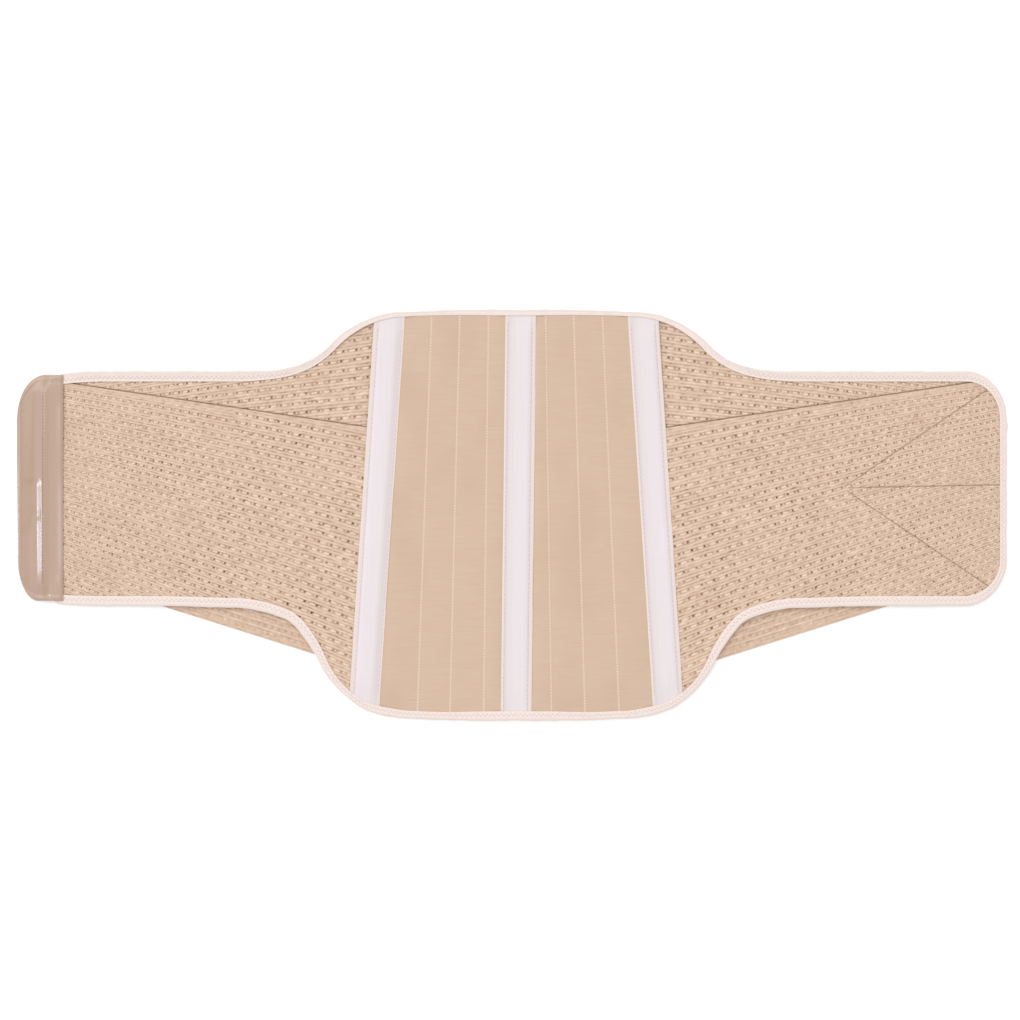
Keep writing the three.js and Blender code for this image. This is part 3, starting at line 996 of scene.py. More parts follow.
@dataclass(frozen=True)
class Lay:
    """How the belt lies: on the straps where they pass under it, and sunk to the floor beside them."""

    strap: StrapCut = StrapCut()
    sink: float = 1.5
    ramp: float = 34.0
    wave: float = 0.5
    # Each wave's length along and up the brace, and its phase
    waves: tuple[Triple, ...] = ((41.0, 60.0, 0.0), (23.0, -35.0, 1.3), (75.0, 27.0, 0.4))

    def at(self, x: Array, y: Array) -> Array:
        """Work out how far the cloth is moved up or down from its flat level.

        The sink is a smooth step of the distance to the strap. Slow waves of three sines add a little height.

        Args:
            x: Places along the brace.
            y: Places up the brace.

        Returns:
            The change of height.
        """
        d = np.abs(x)
        up = y - self.strap.low_edge(x)
        across = np.maximum(np.maximum(-up, up - self.strap.tall), 0.0) / math.hypot(1.0, self.strap.slope)
        along = np.maximum(np.maximum(self.strap.back_d - d, d - self.strap.front_d), 0.0)
        sunk = smoothstep(np.hypot(across, along), 0.0, self.ramp)
        waves = sum(np.sin(x / length + y / rise + phase) for length, rise, phase in self.waves)
        return -self.sink * sunk + self.wave * (0.5 + waves / (2 * len(self.waves)))


# Knitted wings and straps


@dataclass(frozen=True)
class Courses:
    """Where the open courses of one band run, by column along them and row across them.

    A row's height is back_y plus a slope and a bend along the band, plus its number times the pitch, and the
    pitch falls towards the front. The columns close up towards the front by the same share for each period.
    """

    back_y: float
    slope: float
    pitch: float
    rows: tuple[int, int]
    bend: float = 0.0
    pitch_fall: float = 0.0
    row_sign: float = 1.0
    lean: float = 0.0
    middle_row: float = 0.0
    period: float = 12.22
    period_fall: float = 0.02125
    start_d: float = 170.0
    period_d: float = 179.5
    periods: tuple[int, int] = (-7, 40)
    fine_rows: tuple[int, int] = (-99, 99)

    def place(self, period: Array, row: Array) -> Array:
        """Turn columns and rows into places.

        Args:
            period: Numbers of periods along the course.
            row: Numbers of rows.

        Returns:
            Distances from the middle and heights.
        """
        if self.period_fall:
            d = self.period_d + self.period / self.period_fall * (1.0 - np.exp(-self.period_fall * period))
        else:
            d = self.period_d + self.period * period
        d = d + self.lean * self.pitch * (row - self.middle_row)
        t = d - self.start_d
        y = self.back_y + self.slope * t + self.bend * t * t
        return np.stack([d, y + self.row_sign * row * (self.pitch - self.pitch_fall * t)], -1)


@dataclass(frozen=True)
class Knit:
    """Knitted elastic as a lattice: columns along the courses, lines across them, holes at some crossings.

    The height is a cosine across the lines, one crest to each rib. Each hole is a ring of eight points sunk
    round its crossing, with a floor in painted shade. The yarn value runs from 0 in a hole to 1 on a float;
    it follows the rib's cosine, as painted shade in the grooves and painted light on the crests.
    """

    columns: int = 6
    lines: int = 6
    hole_steps: tuple[int, ...] = (-1, 1)
    odd_shift: int = 3
    ribs: int = 3
    relief: float = 0.25
    back_relief: float = 0.6
    thickness: float = 1.1
    selvedge: float = 5.5
    selvedge_relief: float = 0.35
    seed: int = 7
    wander: float = 0.2
    wander_limit: float = 2.0
    wander_depth: Pair = (3.0, 7.0)
    under_cover: float = 12.0
    hole: float = 0.32
    second_hole: float = 0.175
    hole_tall: float = 1.25
    hole_corner: float = 0.74
    hole_rise: float = 0.3
    hole_room: float = 0.92
    hole_scatter: float = 0.16
    rise_scatter: float = 0.6
    uneven: Pair = (0.6, 1.2)
    worn_size: Pair = (0.78, 0.34)
    worn_waves: tuple[Triple, ...] = ((19.0, 31.0, 0.0), (37.0, -14.0, 2.0))
    front_close: float = 0.42
    front_d: Pair = (300.0, 450.0)
    pit: float = 0.65
    # Painted shade of the hole floors, as yarn values: lighter for the second hole of a pair and where a hole
    # closes, with some scatter
    hole_shade: float = 0.0
    second_shade: float = 0.16
    closed_hole_less_shade: float = 0.14
    shade_scatter: float = 0.1
    # Yarn values of the painted light and shade on the ribs, and of the floats
    middle_tone: float = 0.535
    contrast: float = 0.215
    lower_gap: float = 0.5
    upper_gap: float = 0.9
    grain_share: float = 0.4
    noise_share: float = 0.3
    float_light: float = 1.0
    short_float: float = 0.1
    float_grain: float = 0.5
    loop_mm: Pair = (10.0, 8.0)

    def holes(
        self, rng: np.random.Generator, rise: float, places: Array, at: Run, main: Array
    ) -> tuple[Array, Array, Array]:
        """Draw an eight-sided ring round each hole; no two are quite alike.

        Wear closes the holes in soft patches, which are the sum of two sines, and towards the front; where
        the patches close a hole, its floor takes less painted shade.

        Args:
            rng: The source of the unevenness.
            rise: How far the holes lie from the middle of their course, in lines.
            places: Each hole's distance from the middle and height.
            at: The columns and the lines of the holes.
            main: Which holes are the larger of their pair.

        Returns:
            The columns and the lines of the rings, and the painted shade of each hole's floor.
        """
        d, y = places.T
        count = len(d)
        patches = sum(np.sin(d / length + y / rise_mm + phase) for length, rise_mm, phase in self.worn_waves)
        open_share = 0.5 + 0.25 * patches
        least, more = self.worn_size
        size = np.where(main, self.hole, self.second_hole) * (least + more * open_share)
        size = size * rng.uniform(*self.uneven, count)
        size = (size * (1.0 - self.front_close * smoothstep(d, *self.front_d)))[:, None]
        # The painted shade of each hole's floor
        shade = self.hole_shade + np.where(main, 0.0, self.second_shade)
        shade = shade + self.closed_hole_less_shade * (1.0 - open_share) + rng.uniform(0.0, self.shade_scatter, count)
        off_c, off_l = rng.normal(0.0, self.hole_scatter, (2, count, 1))
        # Each hole lies in the upper part of its course, clear of the next line
        most = self.hole_room - self.hole_tall * size
        off_l = np.clip(self.rise_scatter * off_l + rise, -most, most)
        off_c = np.clip(off_c, size - self.hole_room, self.hole_room - size)
        k = self.hole_corner
        cosines = np.array([1, k, 0, -k, -1, -k, 0, k])
        sines = np.roll(cosines, RING // 4)
        columns = at[0][:, None] + off_c + size * cosines
        lines = at[1][:, None] + off_l + self.hole_tall * size * sines
        return columns.ravel(), lines.ravel(), shade

    def lattice(self, courses: Courses, outline: Array, cover: Array | None) -> Surface:
        """Draw the upper face of a band flat at height 0.

        Args:
            courses: Where its rows and columns run.
            outline: Its cut, in distance from the middle and height.
            cover: The outline of a piece on top of it, or nothing.

        Returns:
            The face with its relief and yarn values, and its back without holes.
        """
        first, last = courses.periods
        column = np.arange(first * self.columns, last * self.columns + 1)
        line = np.arange(courses.rows[0] * self.lines, courses.rows[1] * self.lines + 1)
        # Rows that lie wholly under another piece have every second line only
        first_fine, last_fine = courses.fine_rows
        fine = (line >= first_fine * self.lines) & (line <= last_fine * self.lines)
        line = line[fine | (line % 2 == 0)]
        c, l = (grid.ravel() for grid in np.meshgrid(column, line))
        flat = courses.place(c / self.columns, l / self.lines)
        depth, nearest = depth_inside(flat, outline)
        width = len(column)
        whole = grid_quads(len(line), width)
        whole = whole[(depth[whole] > 0.0).any(1)]
        # No holes are drawn where another piece lies on top
        bare = True if cover is None else depth_inside(flat, cover)[0] < self.under_cover
        rng = np.random.default_rng(self.seed)
        grain = rng.normal(0.0, 1.0, (len(line), width))
        grain = (sum(np.roll(grain, shift, 1) for shift in range(3)) / math.sqrt(3.0)).ravel()
        # The plain ribs wander a little between the open courses
        across = l % self.lines
        loose = ((across > 1) & (across < self.lines - 1)) * smoothstep(depth, *self.wander_depth)
        wandered = l + self.wander * np.clip(grain, -self.wander_limit, self.wander_limit) * loose
        flat = courses.place(c / self.columns, wandered / self.lines)
        odd = np.floor_divide(l, self.lines) % 2 == 1
        half = self.columns // 2
        step = (c - np.where(odd, self.odd_shift, 0) + half) % self.columns - half
        on_course = (across == 0) & (depth > self.selvedge)
        holed = on_course & np.isin(step, self.hole_steps) & bare
        centre = np.flatnonzero(holed)
        main = (step[centre] > 0) != odd[centre]
        rise = courses.row_sign * self.hole_rise
        ring_c, ring_l, shade = self.holes(rng, rise, flat[centre], (c[centre], l[centre]), main)
        ring = len(c) + np.arange(ring_c.size).reshape(-1, RING)
        around = [1, 1 + width, width, width - 1, -1, -1 - width, -width, 1 - width]
        outer = centre[:, None] + np.array(around)
        collars = np.stack([ring, outer, np.roll(outer, -1, 1), np.roll(ring, -1, 1)], -1).reshape(-1, 4)
        floors = ring[:, [[0, 1, 2, 3], [0, 3, 4, 7], [4, 5, 6, 7]]].reshape(-1, 4)
        quads = np.concatenate([whole[~holed[whole].any(1)], collars, floors])
        used, numbers = np.unique(np.concatenate([quads, whole]), return_inverse=True)
        faces, back = np.split(numbers.reshape(-1, 4), [len(quads)])
        kept = np.where(depth[:, None] < 0, nearest, flat)
        flat = np.concatenate([kept, courses.place(ring_c / self.columns, ring_l / self.lines)])
        all_c, all_l = np.concatenate([c, ring_c]), np.concatenate([l, ring_l])
        on_ring = np.arange(len(all_c)) >= len(c)
        rib = np.cos(2.0 * math.pi * self.ribs * all_l / self.lines)
        all_depth = np.concatenate([depth, np.repeat(depth[centre], RING)])
        plain = mix(self.selvedge_relief, 1.0, smoothstep(all_depth, 0.5, self.selvedge + 2.0))
        height = self.relief * rib * plain - np.where(on_ring, self.pit, 0.0)
        # Painted highlight: some stretches of each rib are painted lighter, as if they lay higher and caught
        # more light
        grain = np.concatenate([grain, np.zeros(ring_c.size)])
        # The gaps beside the holes are half filled by the yarn that loops round them, the lower one most, so
        # their painted shade is weaker
        lower = 1 if courses.row_sign < 0 else self.lines - 1
        beside = all_l % self.lines
        filled = np.where(beside == self.lines - lower, self.upper_gap, 1.0)
        tone = rib * np.where(beside == lower, self.lower_gap, filled)
        # The yarn value follows the rib: painted shade in the grooves and painted light on the crests
        yarn = self.middle_tone + self.contrast * (tone * plain + self.grain_share * grain)
        yarn = yarn + rng.normal(0.0, self.noise_share * self.contrast, len(all_c))
        none = np.zeros(ring_c.size, bool)
        short = np.where(np.concatenate([step == 0, none]), self.short_float, 0.0)
        # The floats are lighter yarn with a painted highlight
        floats = self.float_light + short + self.float_grain * self.contrast * grain
        yarn = np.where(np.concatenate([on_course, none]), floats, yarn)
        # The hole floors take painted shade, a dark dye where the open hole would lie in shade
        yarn[on_ring] = np.repeat(shade, RING)
        points = np.column_stack([flat, height])[used]
        along_mm, across_mm = self.loop_mm
        uv = np.column_stack([all_c / self.columns * along_mm, all_l / self.lines * across_mm])[used] * MM
        corner = points[faces[:, :3], :2]
        a, b = corner[:, 1] - corner[:, 0], corner[:, 2] - corner[:, 0]
        turned = float(np.sum(a[:, 0] * b[:, 1] - a[:, 1] * b[:, 0])) < 0.0
        surface = Surface(points, faces, uv=uv, values={"yarn": np.clip(yarn, 0.0, 1.0)[used]}, back=back)
        return surface.flipped() if turned else surface

    def cut(
        self, side: Side, courses: Courses, outline: Array, low: float, lay: Lay | None, cover: Array | None
    ) -> Surface:
        """Cut a band of knit and lay it in place.

        Args:
            side: The wing that it is on.
            courses: Where its rows and columns run.
            outline: Its cut, in distance from the middle and height.
            low: The flat level of its lower face.
            lay: How the belt lies, or nothing for a piece flat on the floor.
            cover: The outline of a piece on top of it, or nothing.

        Returns:
            The closed band.
        """
        face = self.lattice(courses, outline, cover)
        relief = face.points[:, 2].copy()
        face.points[:, 0] *= side.value
        if side is Side.LEFT:
            face = face.flipped()
        lift = lay.at(face.points[:, 0], face.points[:, 1]) if lay else 0.0
        face.points[:, 2] = low + self.thickness + relief + lift
        return face.slab(low + self.back_relief * self.relief - self.back_relief * relief + lift)


@dataclass
class Wing:
    """One wing: a lower band over an upper band that it crosses, and the strap behind them."""

    side: Side
    outline: BeltOutline
    lay: Lay
    casing_x: float
    casing_lean: float
    course_drop: float
    crossing: Crossing = Crossing()
    cloth_step: float = 4.0
    seam_gap: float = 0.5
    seam_rise: float = 0.25
    darts: tuple[tuple[float, float, float, float], ...] = (
        (317.7, 28.3, 455.4, 121.7),
        (320.2, 26.6, 468.0, 29.5),
        (319.6, 23.3, 454.0, -67.3),
    )
    dart_run_on: float = 30.0
    dart_faint: float = 0.3
    dart_faint_run: float = 35.0
    dart_depth: float = 0.3
    dart_width: float = 1.2
    strap: StrapCut = StrapCut()
    strap_rows: int = 18
    strap_shown_rows: int = 8
    strap_period: float = 6.46
    strap_periods: int = 50
    strap_margin: float = 0.01
    strap_rise: float = 0.05
    lower_courses: Courses = Courses(
        back_y=68.9, slope=0.224, bend=-0.0001016, pitch=9.215, pitch_fall=0.0089, row_sign=-1.0,
        rows=(-4, 34), lean=0.25, middle_row=12.0,
    )
    upper_courses: Courses = Courses(
        back_y=103.3, slope=-0.095, pitch=9.2, pitch_fall=0.00934, rows=(-28, 13), fine_rows=(-5, 13)
    )
    lower_knit: Knit = Knit()
    upper_knit: Knit = Knit(hole=0.3, second_hole=0.155)
    strap_knit: Knit = Knit(
        columns=4, lines=4, hole_steps=(1,), odd_shift=2, ribs=2, relief=0.12, thickness=1.15, selvedge=4.0,
        wander=0.1, hole=0.34, second_hole=0.28, pit=0.4, hole_shade=0.12, contrast=0.2, float_light=0.6,
    )

    def cloth(self) -> Array:
        """Trace the wing's cloth, cut back to lie inside the binding.

        Returns:
            Its outline in distance from the middle and height.
        """
        path = self.outline.path(self.outline.cloth_end_x, self.cloth_step)
        outline = path.inset(np.full(len(path.arc), CLOTH_INSET)) * np.array([self.side.value, 1.0])
        lean = self.casing_lean * self.side.value
        seam = np.array([abs(self.casing_x) + self.seam_gap, 0.0])
        return clipped(outline, seam, np.array([1.0, -lean]))

    def build(self, elastic: Material, darted: Material, strap_elastic: Material) -> None:
        """Build the strap, the upper band and the lower band.

        Args:
            elastic: The finish of a plain band.
            darted: The finish of a band with darts.
            strap_elastic: The finish of the strap.
        """
        name = self.side.label
        cloth = self.cloth()
        lower_cut, upper_cut = self.crossing.cuts(cloth)
        strap = self.build_strap(strap_elastic, cloth)
        rows = self.upper_courses
        upper_mesh = self.upper_knit.cut(self.side, rows, upper_cut, UPPER_BAND_Z, self.lay, lower_cut)
        rows = replace(self.lower_courses, back_y=self.lower_courses.back_y - self.course_drop)
        lower_mesh = self.lower_knit.cut(self.side, rows, lower_cut, LOWER_BAND_Z, self.lay, None)
        if self.side is Side.RIGHT:
            self.sew_darts(lower_mesh)
        for level, mesh, cut, finish in (
            ("upper", upper_mesh, upper_cut, elastic),
            ("lower", lower_mesh, lower_cut, darted if self.side is Side.RIGHT else elastic),
        ):
            self.mark_seam(mesh)
            node = f"wing_{name}_{level}_band"
            piece = settle(mesh_object(f"{node}_knit", mesh, finish), "knit_elastic", node)

    def build_strap(self, material: Material, cloth: Array) -> Piece:
        """Build the strap flat on the floor, with its courses along its edges.

        Args:
            material: Its finish.
            cloth: The outline of the wing on top of it.

        Returns:
            The strap.
        """
        cut = self.strap
        courses = Courses(
            back_y=float(cut.low_edge(self.side.value * cut.back_d)),
            slope=cut.slope,
            pitch=cut.tall / self.strap_rows,
            rows=(0, self.strap_rows),
            period=self.strap_period,
            period_fall=0.0,
            start_d=cut.back_d,
            period_d=cut.back_d,
            periods=(0, self.strap_periods),
            fine_rows=(0, self.strap_shown_rows),
        )
        d = np.array([cut.back_d, cut.front_d, cut.front_d, cut.back_d])
        low_edge = cut.low_edge(self.side.value * d)
        outline = np.column_stack([d, low_edge + np.array([0.0, 0.0, cut.tall, cut.tall])])
        # A little wider than the lattice, so that its outermost quads count as inside
        wide = outline + np.array([[-1, -1], [1, -1], [1, 1], [-1, 1]]) * self.strap_margin
        mesh = self.strap_knit.cut(self.side, courses, wide, STRAP_Z + self.strap_rise, None, cloth)
        node = f"tension_strap_{self.side.label}"
        piece = settle(mesh_object(f"{node}_knit", mesh, material), "strap_elastic", node)
        return piece

    def mark_seam(self, mesh: Surface) -> None:
        """Store the signed distance to the seam along the lower band's upper edge, where its finish paints a
        shadow line.

        Args:
            mesh: The closed band.
        """
        d, y = np.abs(mesh.points[:, 0]), mesh.points[:, 1]
        above = self.crossing.above(d, y) / math.hypot(1.0, self.crossing.slope)
        far = np.full_like(above, FAR)
        mesh.values["seam"] = np.stack([above - self.seam_rise, far, far], 1)

    def sew_darts(self, mesh: Surface) -> None:
        """Press the darts into a band and store the signed distance to each line, where its finish paints a
        shadow line.

        Args:
            mesh: The closed band.
        """
        distances = []
        for dart in self.darts:
            origin = np.array(dart[:2])
            run = np.array(dart[2:]) - origin
            length = float(np.hypot(*run))
            run /= length
            to = mesh.points[:, :2] - origin
            along = to @ run
            off = to[:, 0] * -run[1] + to[:, 1] * run[0]
            beyond = np.maximum(np.maximum(-along, along - length - self.dart_run_on), 0.0)
            # The painted shadow line is faint where it starts
            faint = self.dart_faint * (1.0 - smoothstep(along, 0.0, self.dart_faint_run))
            distances.append(off + np.where(off < 0, -1.0, 1.0) * (LINE_STOP * beyond + faint))
        signed = np.stack(distances, 1)
        near = np.abs(signed).min(1)
        x, y, z = mesh.points.T
        top = z > LOWER_BAND_Z + self.lay.at(x, y) + 0.5 * self.lower_knit.thickness
        mesh.points[:, 2] -= np.where(top, self.dart_depth * bell(near, 0.0, self.dart_width), 0.0)
        mesh.values["dart"] = signed


# Back, casings, binding and tab


@dataclass(frozen=True)
class Casing:
    """A woven tape over a stay: its x at mid height, and how far that moves for each millimetre up."""

    name: str
    x: float
    lean: float
    wide_band: Side = Side.LEFT
    width: float = 29.9
    edge: float = 0.42
    crown: float = 1.9
    # Pressed a little into the cloth below
    level: float = COVER_Z - 0.15
    taper: float = 16.0
    columns: int = 33
    rows: int = 111
    arch: float = 0.85
    arch_edges: Pair = (0.45, 0.8)
    arch_curve: float = 0.25
    hem: float = 0.12
    hem_place: Pair = (0.9, 0.06)
    thinned: float = 0.2
    thinned_from: float = 0.92
    stitch_lines: Pair = (-0.845, 0.714)
    stitch_step: float = 4.5
    stitch_share: float = 0.7
    stitch_stagger: float = 0.25
    stitch_margin: float = 5.0

    def line(self, y: Array) -> Array:
        """The tape's middle line at height y."""
        return self.x + self.lean * np.asarray(y)

    def build(self, outline: BeltOutline, lay: Lay, material: Material) -> list[Run]:
        """Build the tape and find where its stitches go.

        The height across the tape is a flat hem at each edge and a low arch over the stay between them. The
        arch fades where the ends pass under the binding.

        Args:
            outline: The edge of the belt.
            lay: How the belt lies.
            material: The tape's finish.

        Returns:
            The start and end points of its rows of stitches.
        """
        u = np.linspace(-1.0, 1.0, self.columns)
        v = np.linspace(0.0, 1.0, self.rows)
        aside = u * self.width / 2.0

        def line_x(y: Array) -> Array:
            """The x of each lengthwise line at height y."""
            return self.line(y) + aside

        low = outline.reach(line_x, False, CLOTH_INSET + CLEARANCE)
        high = outline.reach(line_x, True, CLOTH_INSET + CLEARANCE)
        y = mix(low, high, v[:, None])
        x = line_x(y)
        lift = lay.at(x, y)
        top = self.level + self.height(y, low, high, u) + lift
        points = np.stack([x, y, top], -1).reshape(-1, 3)
        uv = np.stack([np.broadcast_to(aside, y.shape), y], -1).reshape(-1, 2) * MM
        across = np.broadcast_to(0.5 - 0.5 * self.wide_band.value * u, y.shape).ravel()
        face = Surface(points, grid_quads(len(v), len(u)), uv=uv, values={"across": across})
        node = f"stay_casing_{self.name}"
        piece = mesh_object(f"{node}_tape", face.slab((self.level + lift).ravel()), material)
        settle(piece, "casing_tape", node)
        rows = []
        count = int((high.min() - low.max() - 2.0 * self.stitch_margin) / self.stitch_step)
        for at in self.stitch_lines:
            places = np.arange(count) + self.stitch_stagger * at
            starts = low.max() + self.stitch_margin + self.stitch_step * places
            u_at = np.full(count, -at * self.wide_band.value)
            line_ends = np.interp(u_at, u, low), np.interp(u_at, u, high)
            spots = []
            for spot in (starts, starts + self.stitch_share * self.stitch_step):
                x_spot = self.line(spot) + u_at * self.width / 2.0
                level = self.level + self.height(spot, *line_ends, u_at) + lay.at(x_spot, spot)
                spots.append(np.column_stack([x_spot, spot, level]))
            rows.append(tuple(spots))
        return rows

    def height(self, y: Array, low: Array, high: Array, u: Array) -> Array:
        """Height of the tape's face above its lower face.

        Args:
            y: Places up the brace.
            low: Where each lengthwise line starts.
            high: Where each lengthwise line ends.
            u: The place across the tape, from -1 to 1.

        Returns:
            The height at each place.
        """
        to_edge = np.minimum(y - low, high - y)
        fade = smoothstep(to_edge, BINDING_COVER, BINDING_COVER + self.taper)
        arch = (1.0 - smoothstep(np.abs(u), *self.arch_edges)) * (1.0 - self.arch_curve * u * u)
        hem = self.hem * bell(np.abs(u), *self.hem_place)
        thinned = self.thinned * smoothstep(np.abs(u), self.thinned_from, 1.0)
        return self.edge + hem - thinned + (self.crown - self.edge) * self.arch * arch * fade


@dataclass
class BackPanel:
    """One half of the back: cloth sewn through a thin pad in three lines, which swells in four channels."""

    side: Side
    inner: Casing
    outer: Casing
    lines: tuple[float, ...]
    drifts: tuple[float, ...]
    crown: float = 0.75
    crown_power: float = 0.6
    fade: float = 14.0
    seam_gap: float = 0.5
    channel_points: int = 13
    rows: int = 121
    pucker: float = 0.1
    pucker_mm: Pair = (1.9, 5.3)
    pucker_shift: Pair = (5.0, 9.0)
    pucker_reach: float = 0.16
    stitch_step: float = 2.7
    stitch_share: float = 0.94
    stitch_margin: float = 5.0
    stitch_sink: float = 0.15

    def build(self, outline: BeltOutline, lay: Lay, material: Material) -> list[Run]:
        """Build the panel and find where its stitches go.

        The height is a half-round between sewn lines, with small puckers beside each line.

        Args:
            outline: The edge of the belt.
            lay: How the belt lies.
            material: The cloth's finish.

        Returns:
            The start and end points of its rows of stitches.
        """
        covered = self.inner.width / 2.0 / abs(self.outer.x - self.inner.x)
        seams = np.array([covered, *self.lines, 1.0 - covered])
        pairs = zip(seams[:-1], seams[1:], strict=True)
        inside = [np.linspace(a, b, self.channel_points)[:-1] for a, b in pairs]
        u = np.concatenate([[0.0], *inside, [seams[-1], 1.0]])
        v = np.linspace(0.0, 1.0, self.rows)
        gap = self.side.value * self.seam_gap

        def line_x(y: Array, share: Array = u) -> Array:
            """The x of each lengthwise line at height y; the sewn lines drift sideways with height."""
            drift = np.interp(share, seams, [0.0, *self.drifts, 0.0])
            return mix(self.inner.line(y) + gap, self.outer.line(y) - gap, share + drift * y)

        low = outline.reach(line_x, False, CLOTH_INSET + CLEARANCE)
        high = outline.reach(line_x, True, CLOTH_INSET + CLEARANCE)
        y = mix(low, high, v[:, None])
        x = line_x(y)
        k = np.clip(np.searchsorted(seams, u, side="right") - 1, 0, len(seams) - 2)
        t = np.clip((u - seams[k]) / (seams[k + 1] - seams[k]), 0.0, 1.0)
        swell = self.crown * (4.0 * t * (1.0 - t)) ** self.crown_power
        to_edge = np.minimum(y - low, high - y)
        fade = smoothstep(to_edge, BINDING_COVER, BINDING_COVER + self.fade)
        (fine, coarse), (turn, jump) = self.pucker_mm, self.pucker_shift
        pucker = self.pucker * np.sin(y / fine + turn * u) * np.sin(y / coarse + jump * k)
        pucker = pucker * bell(np.minimum(t, 1.0 - t), 0.0, self.pucker_reach)
        lift = lay.at(x, y)
        top = STACK_TOP_Z + (swell + np.where((t > 0) & (t < 1), pucker, 0.0)) * fade + lift
        points = np.stack([x, y, top], -1).reshape(-1, 3)
        # Distances to the sewn lines, where the cloth's finish paints shade
        beside = np.stack([x - line_x(y, line) for line in self.lines], -1).reshape(-1, 3)
        face = Surface(points, grid_quads(len(v), len(u)), values={"line": beside})
        if self.side is Side.LEFT:
            face = face.flipped()
        node = f"back_panel_{self.side.label}"
        piece = mesh_object(f"{node}_cloth", face.slab((UPPER_BAND_Z + lift).ravel()), material)
        settle(piece, "back_cloth", node)
        rows = []
        for line in self.lines:
            column = int(np.argmin(np.abs(u - line)))
            first, last = low[column] + self.stitch_margin, high[column] - self.stitch_margin
            starts = np.arange(first, last, self.stitch_step)
            spots = []
            for spot in (starts, starts + self.stitch_share * self.stitch_step):
                x_spot = line_x(spot, line)
                level = STACK_TOP_Z - self.stitch_sink + lay.at(x_spot, spot)
                spots.append(np.column_stack([x_spot, spot, level]))
            rows.append(tuple(spots))
        return rows


